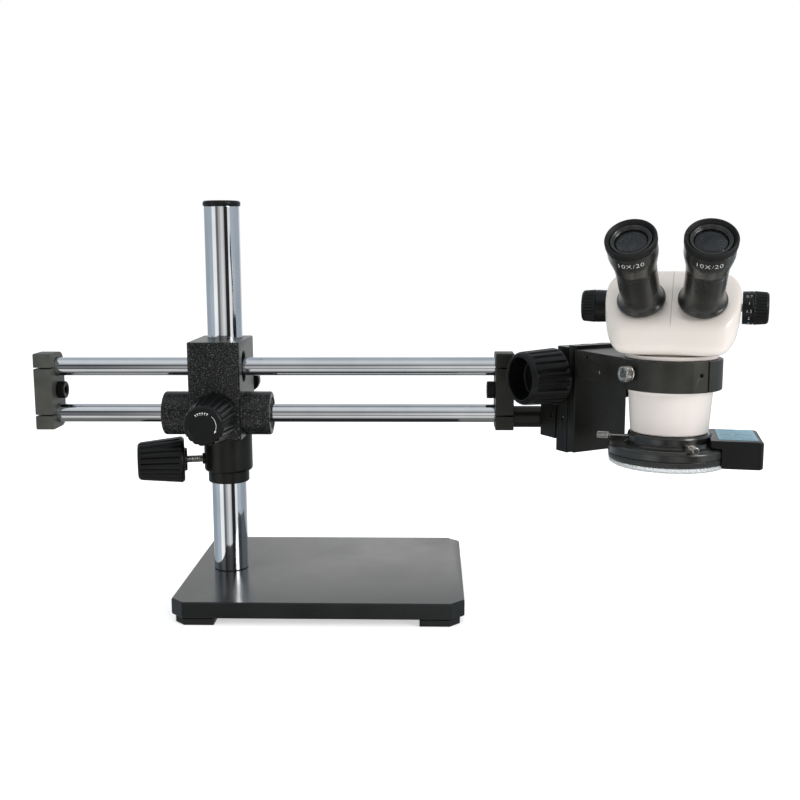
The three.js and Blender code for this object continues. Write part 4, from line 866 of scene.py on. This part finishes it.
# Floor, light and camera
def makeStudio():
    angle = np.linspace(0, 2 * np.pi, 96, endpoint=False)[None, :]
    radius = np.array([0.0, 1.0, 3.0, 6.0])[:, None]
    disc = np.stack([radius * np.cos(angle), radius * np.sin(angle), -0.0003 + 0 * radius * angle], -1)
    points, faces = gridSurface(disc)
    mesh = bpy.data.meshes.new("studioFloor")
    mesh.from_pydata(points.tolist(), [], faces.tolist())
    floor = bpy.data.objects.new("studioFloor", mesh)
    bpy.context.scene.collection.objects.link(floor)
    material, tree, shader, coords = newMaterial("matt white sweep", {
        "Base Color": colour("#f7f7f7"), "Roughness": 0.9, "Emission Color": colour("#ffffff"),
        "Emission Strength": 0.56})
    mesh.materials.append(material)
    floor.visible_glossy = False

    # The room: bright walls, a grey ceiling, a soft box in front and above, and dark gaps that give
    # the polished bars their lines. Elevation and azimuth are worked out from the direction.
    world = bpy.data.worlds.new("softRoom")
    bpy.context.scene.world = world
    world.use_nodes = True
    tree = world.node_tree
    tree.nodes.clear()
    direction = addNode(tree, "ShaderNodeTexCoord").outputs["Generated"]
    axes = addNode(tree, "ShaderNodeSeparateXYZ", None, {"Vector": direction})
    tilt = addNode(tree, "ShaderNodeMath", {"operation": "ARCSINE"}, {0: axes.outputs["Z"]})
    height = addNode(tree, "ShaderNodeMapRange", {"From Min": -math.pi / 2, "From Max": math.pi / 2},
                     {"Value": tilt.outputs[0]})
    behind = addNode(tree, "ShaderNodeMath", {"operation": "MULTIPLY", 1: -1.0}, {0: axes.outputs["Y"]})
    swing = addNode(tree, "ShaderNodeMath", {"operation": "ARCTAN2"},
                    {0: axes.outputs["X"], 1: behind.outputs[0]})
    around = addNode(tree, "ShaderNodeMapRange", {"From Min": -math.pi, "From Max": math.pi},
                     {"Value": swing.outputs[0]})
    up = lambda degrees: (degrees + 90) / 180
    across = lambda degrees: (degrees + 180) / 360
    back = setStops(addNode(tree, "ShaderNodeValToRGB", None, {"Fac": height.outputs["Result"]}), [
        (up(-85), "#6a6a68"), (up(-40), "#6f6e6c"), (up(-24), "#d8d8d8"), (up(8), "#f6f6f6"),
        (up(23), "#f2f3f4"), (up(30), "#aeb4bb"), (up(60), "#abb1b8"), (up(88), "#aeb4ba")])
    front = setStops(addNode(tree, "ShaderNodeValToRGB", None, {"Fac": height.outputs["Result"]}), [
        (up(-85), "#747472"), (up(-66), "#6e6e6c"), (up(-56), "#9c9b9a"), (up(-47), "#d0d0cf"),
        (up(-27), "#d8d8d8"), (up(-24), "#6c6c6c"), (up(-20), "#6c6c6c"), (up(-18), "#ffffff"),
        (up(-2), "#ffffff"), (up(8), "#dcdcdc"), (up(15), "#c8c8c8"), (up(17.5), "#66686a"),
        (up(23), "#686a6c"), (up(26), "#b4b7ba"), (up(45), "#c8cbce"), (up(60), "#d4d8dc"),
        (up(74), "#ccd1d6"), (up(88), "#b4bac0")])
    side = setStops(addNode(tree, "ShaderNodeValToRGB", None, {"Fac": around.outputs["Result"]}), [
        (across(-165), "#f4f4f4"), (across(-140), "#aab4be"), (across(-60), "#aeb9c3"),
        (across(-55), "#ffffff"), (across(-33), "#fafafa"), (across(-29), "#66686b"),
        (across(-18), "#707275"), (across(-11), "#b2b2b2"), (across(-4), "#b8b8b8"),
        (across(3), "#dedede"), (across(10), "#dedede"), (across(20), "#bebebe"), (across(25), "#262627"),
        (across(45), "#2a2a2b"), (across(48), "#f4f4f4"), (across(60), "#eeeeee"), (across(66), "#b2bcc5"),
        (across(140), "#a9b3bd"), (across(165), "#f4f4f4")])
    low = addNode(tree, "ShaderNodeMath", {"operation": "ABSOLUTE"}, {0: axes.outputs["Z"]})
    nearLevel = addNode(tree, "ShaderNodeMapRange", {"From Min": 0.55, "From Max": 0.4, "To Min": 0.0,
                                                     "To Max": 1.0},
                        {"Value": low.outputs[0]})
    facing = addNode(tree, "ShaderNodeMapRange", {"From Min": -0.12, "From Max": 0.12},
                     {"Value": behind.outputs[0]})
    room = addNode(tree, "ShaderNodeMix", {"data_type": "RGBA"},
                   {0: facing.outputs["Result"], 6: back.outputs["Color"], 7: front.outputs["Color"]})
    walls = addNode(tree, "ShaderNodeMix", {"data_type": "RGBA", "blend_type": "MULTIPLY"},
                    {0: nearLevel.outputs["Result"], 6: room.outputs[2], 7: side.outputs["Color"]})
    glow = addNode(tree, "ShaderNodeBackground", {"Strength": 1.05}, {"Color": walls.outputs[2]})
    plain = addNode(tree, "ShaderNodeBackground", {"Color": colour("#ffffff"), "Strength": 1.0})
    rays = addNode(tree, "ShaderNodeLightPath")
    mixed = addNode(tree, "ShaderNodeMixShader", None, {0: rays.outputs["Is Camera Ray"],
                                                        1: glow.outputs[0], 2: plain.outputs[0]})
    addNode(tree, "ShaderNodeOutputWorld", None, {"Surface": mixed.outputs[0]})

    lamps = (
        ("keySoftBox", (1.7, -1.3, 1.0), (0.2, -0.1, 0.18), 0.9, 19),
        ("fillSoftBox", (-1.3, -1.6, 1.1), (0.05, -0.05, 0.15), 1.2, 3),
        ("topSoftBox", (0.0, 0.4, 2.2), (0.0, 0.0, 0.1), 1.6, 15))
    for name, at, target, size, power in lamps:
        data = bpy.data.lights.new(name, "AREA")
        data.shape, data.size, data.energy = "DISK", size, power
        lamp = bpy.data.objects.new(name, data)
        lamp.visible_glossy = name == "keySoftBox"
        lamp.location = at
        lamp.rotation_euler = (Vector(target) - Vector(at)).to_track_quat("-Z", "Y").to_euler()
        bpy.context.scene.collection.objects.link(lamp)


def makeCamera():
    view = {"at": (98.64, -957.74, 324.83), "pitch": 8.53, "yaw": -1.74, "roll": -0.21, "lens": 47.0}
    pitch, yaw, roll = (math.radians(view[k]) for k in ("pitch", "yaw", "roll"))
    ahead = Vector((math.sin(yaw) * math.cos(pitch), math.cos(yaw) * math.cos(pitch), -math.sin(pitch)))
    right = ahead.cross(Vector((0, 0, 1))).normalized()
    above = right.cross(ahead)
    right, above = right * math.cos(roll) + above * math.sin(roll), above * math.cos(roll) - right * math.sin(roll)
    data = bpy.data.cameras.new("viewingCamera")
    data.lens, data.sensor_width, data.clip_start, data.clip_end = view["lens"], 36, 0.01, 50
    camera = bpy.data.objects.new("viewingCamera", data)
    place = onStand(np.array([view["at"]]))[0]
    camera.matrix_world = Matrix((
        (right.x, above.x, -ahead.x, place[0]), (right.y, above.y, -ahead.y, place[1]),
        (right.z, above.z, -ahead.z, place[2]), (0, 0, 0, 1)))
    bpy.context.scene.collection.objects.link(camera)
    bpy.context.scene.camera = camera
    bpy.context.scene.view_settings.view_transform = "Standard"


makeCamera()
makeStudio()
print("camera and room ready")
makeStand()
makeCollar()
makeBlock()
makeBoom()
print("stand and boom ready")
makeMount()
makeHead()
makeEyepieces()
print("microscope ready")
makeRingLight()
makePowerBox()
dressNodes()
print("ring light ready")

bpy.context.view_layer.update()
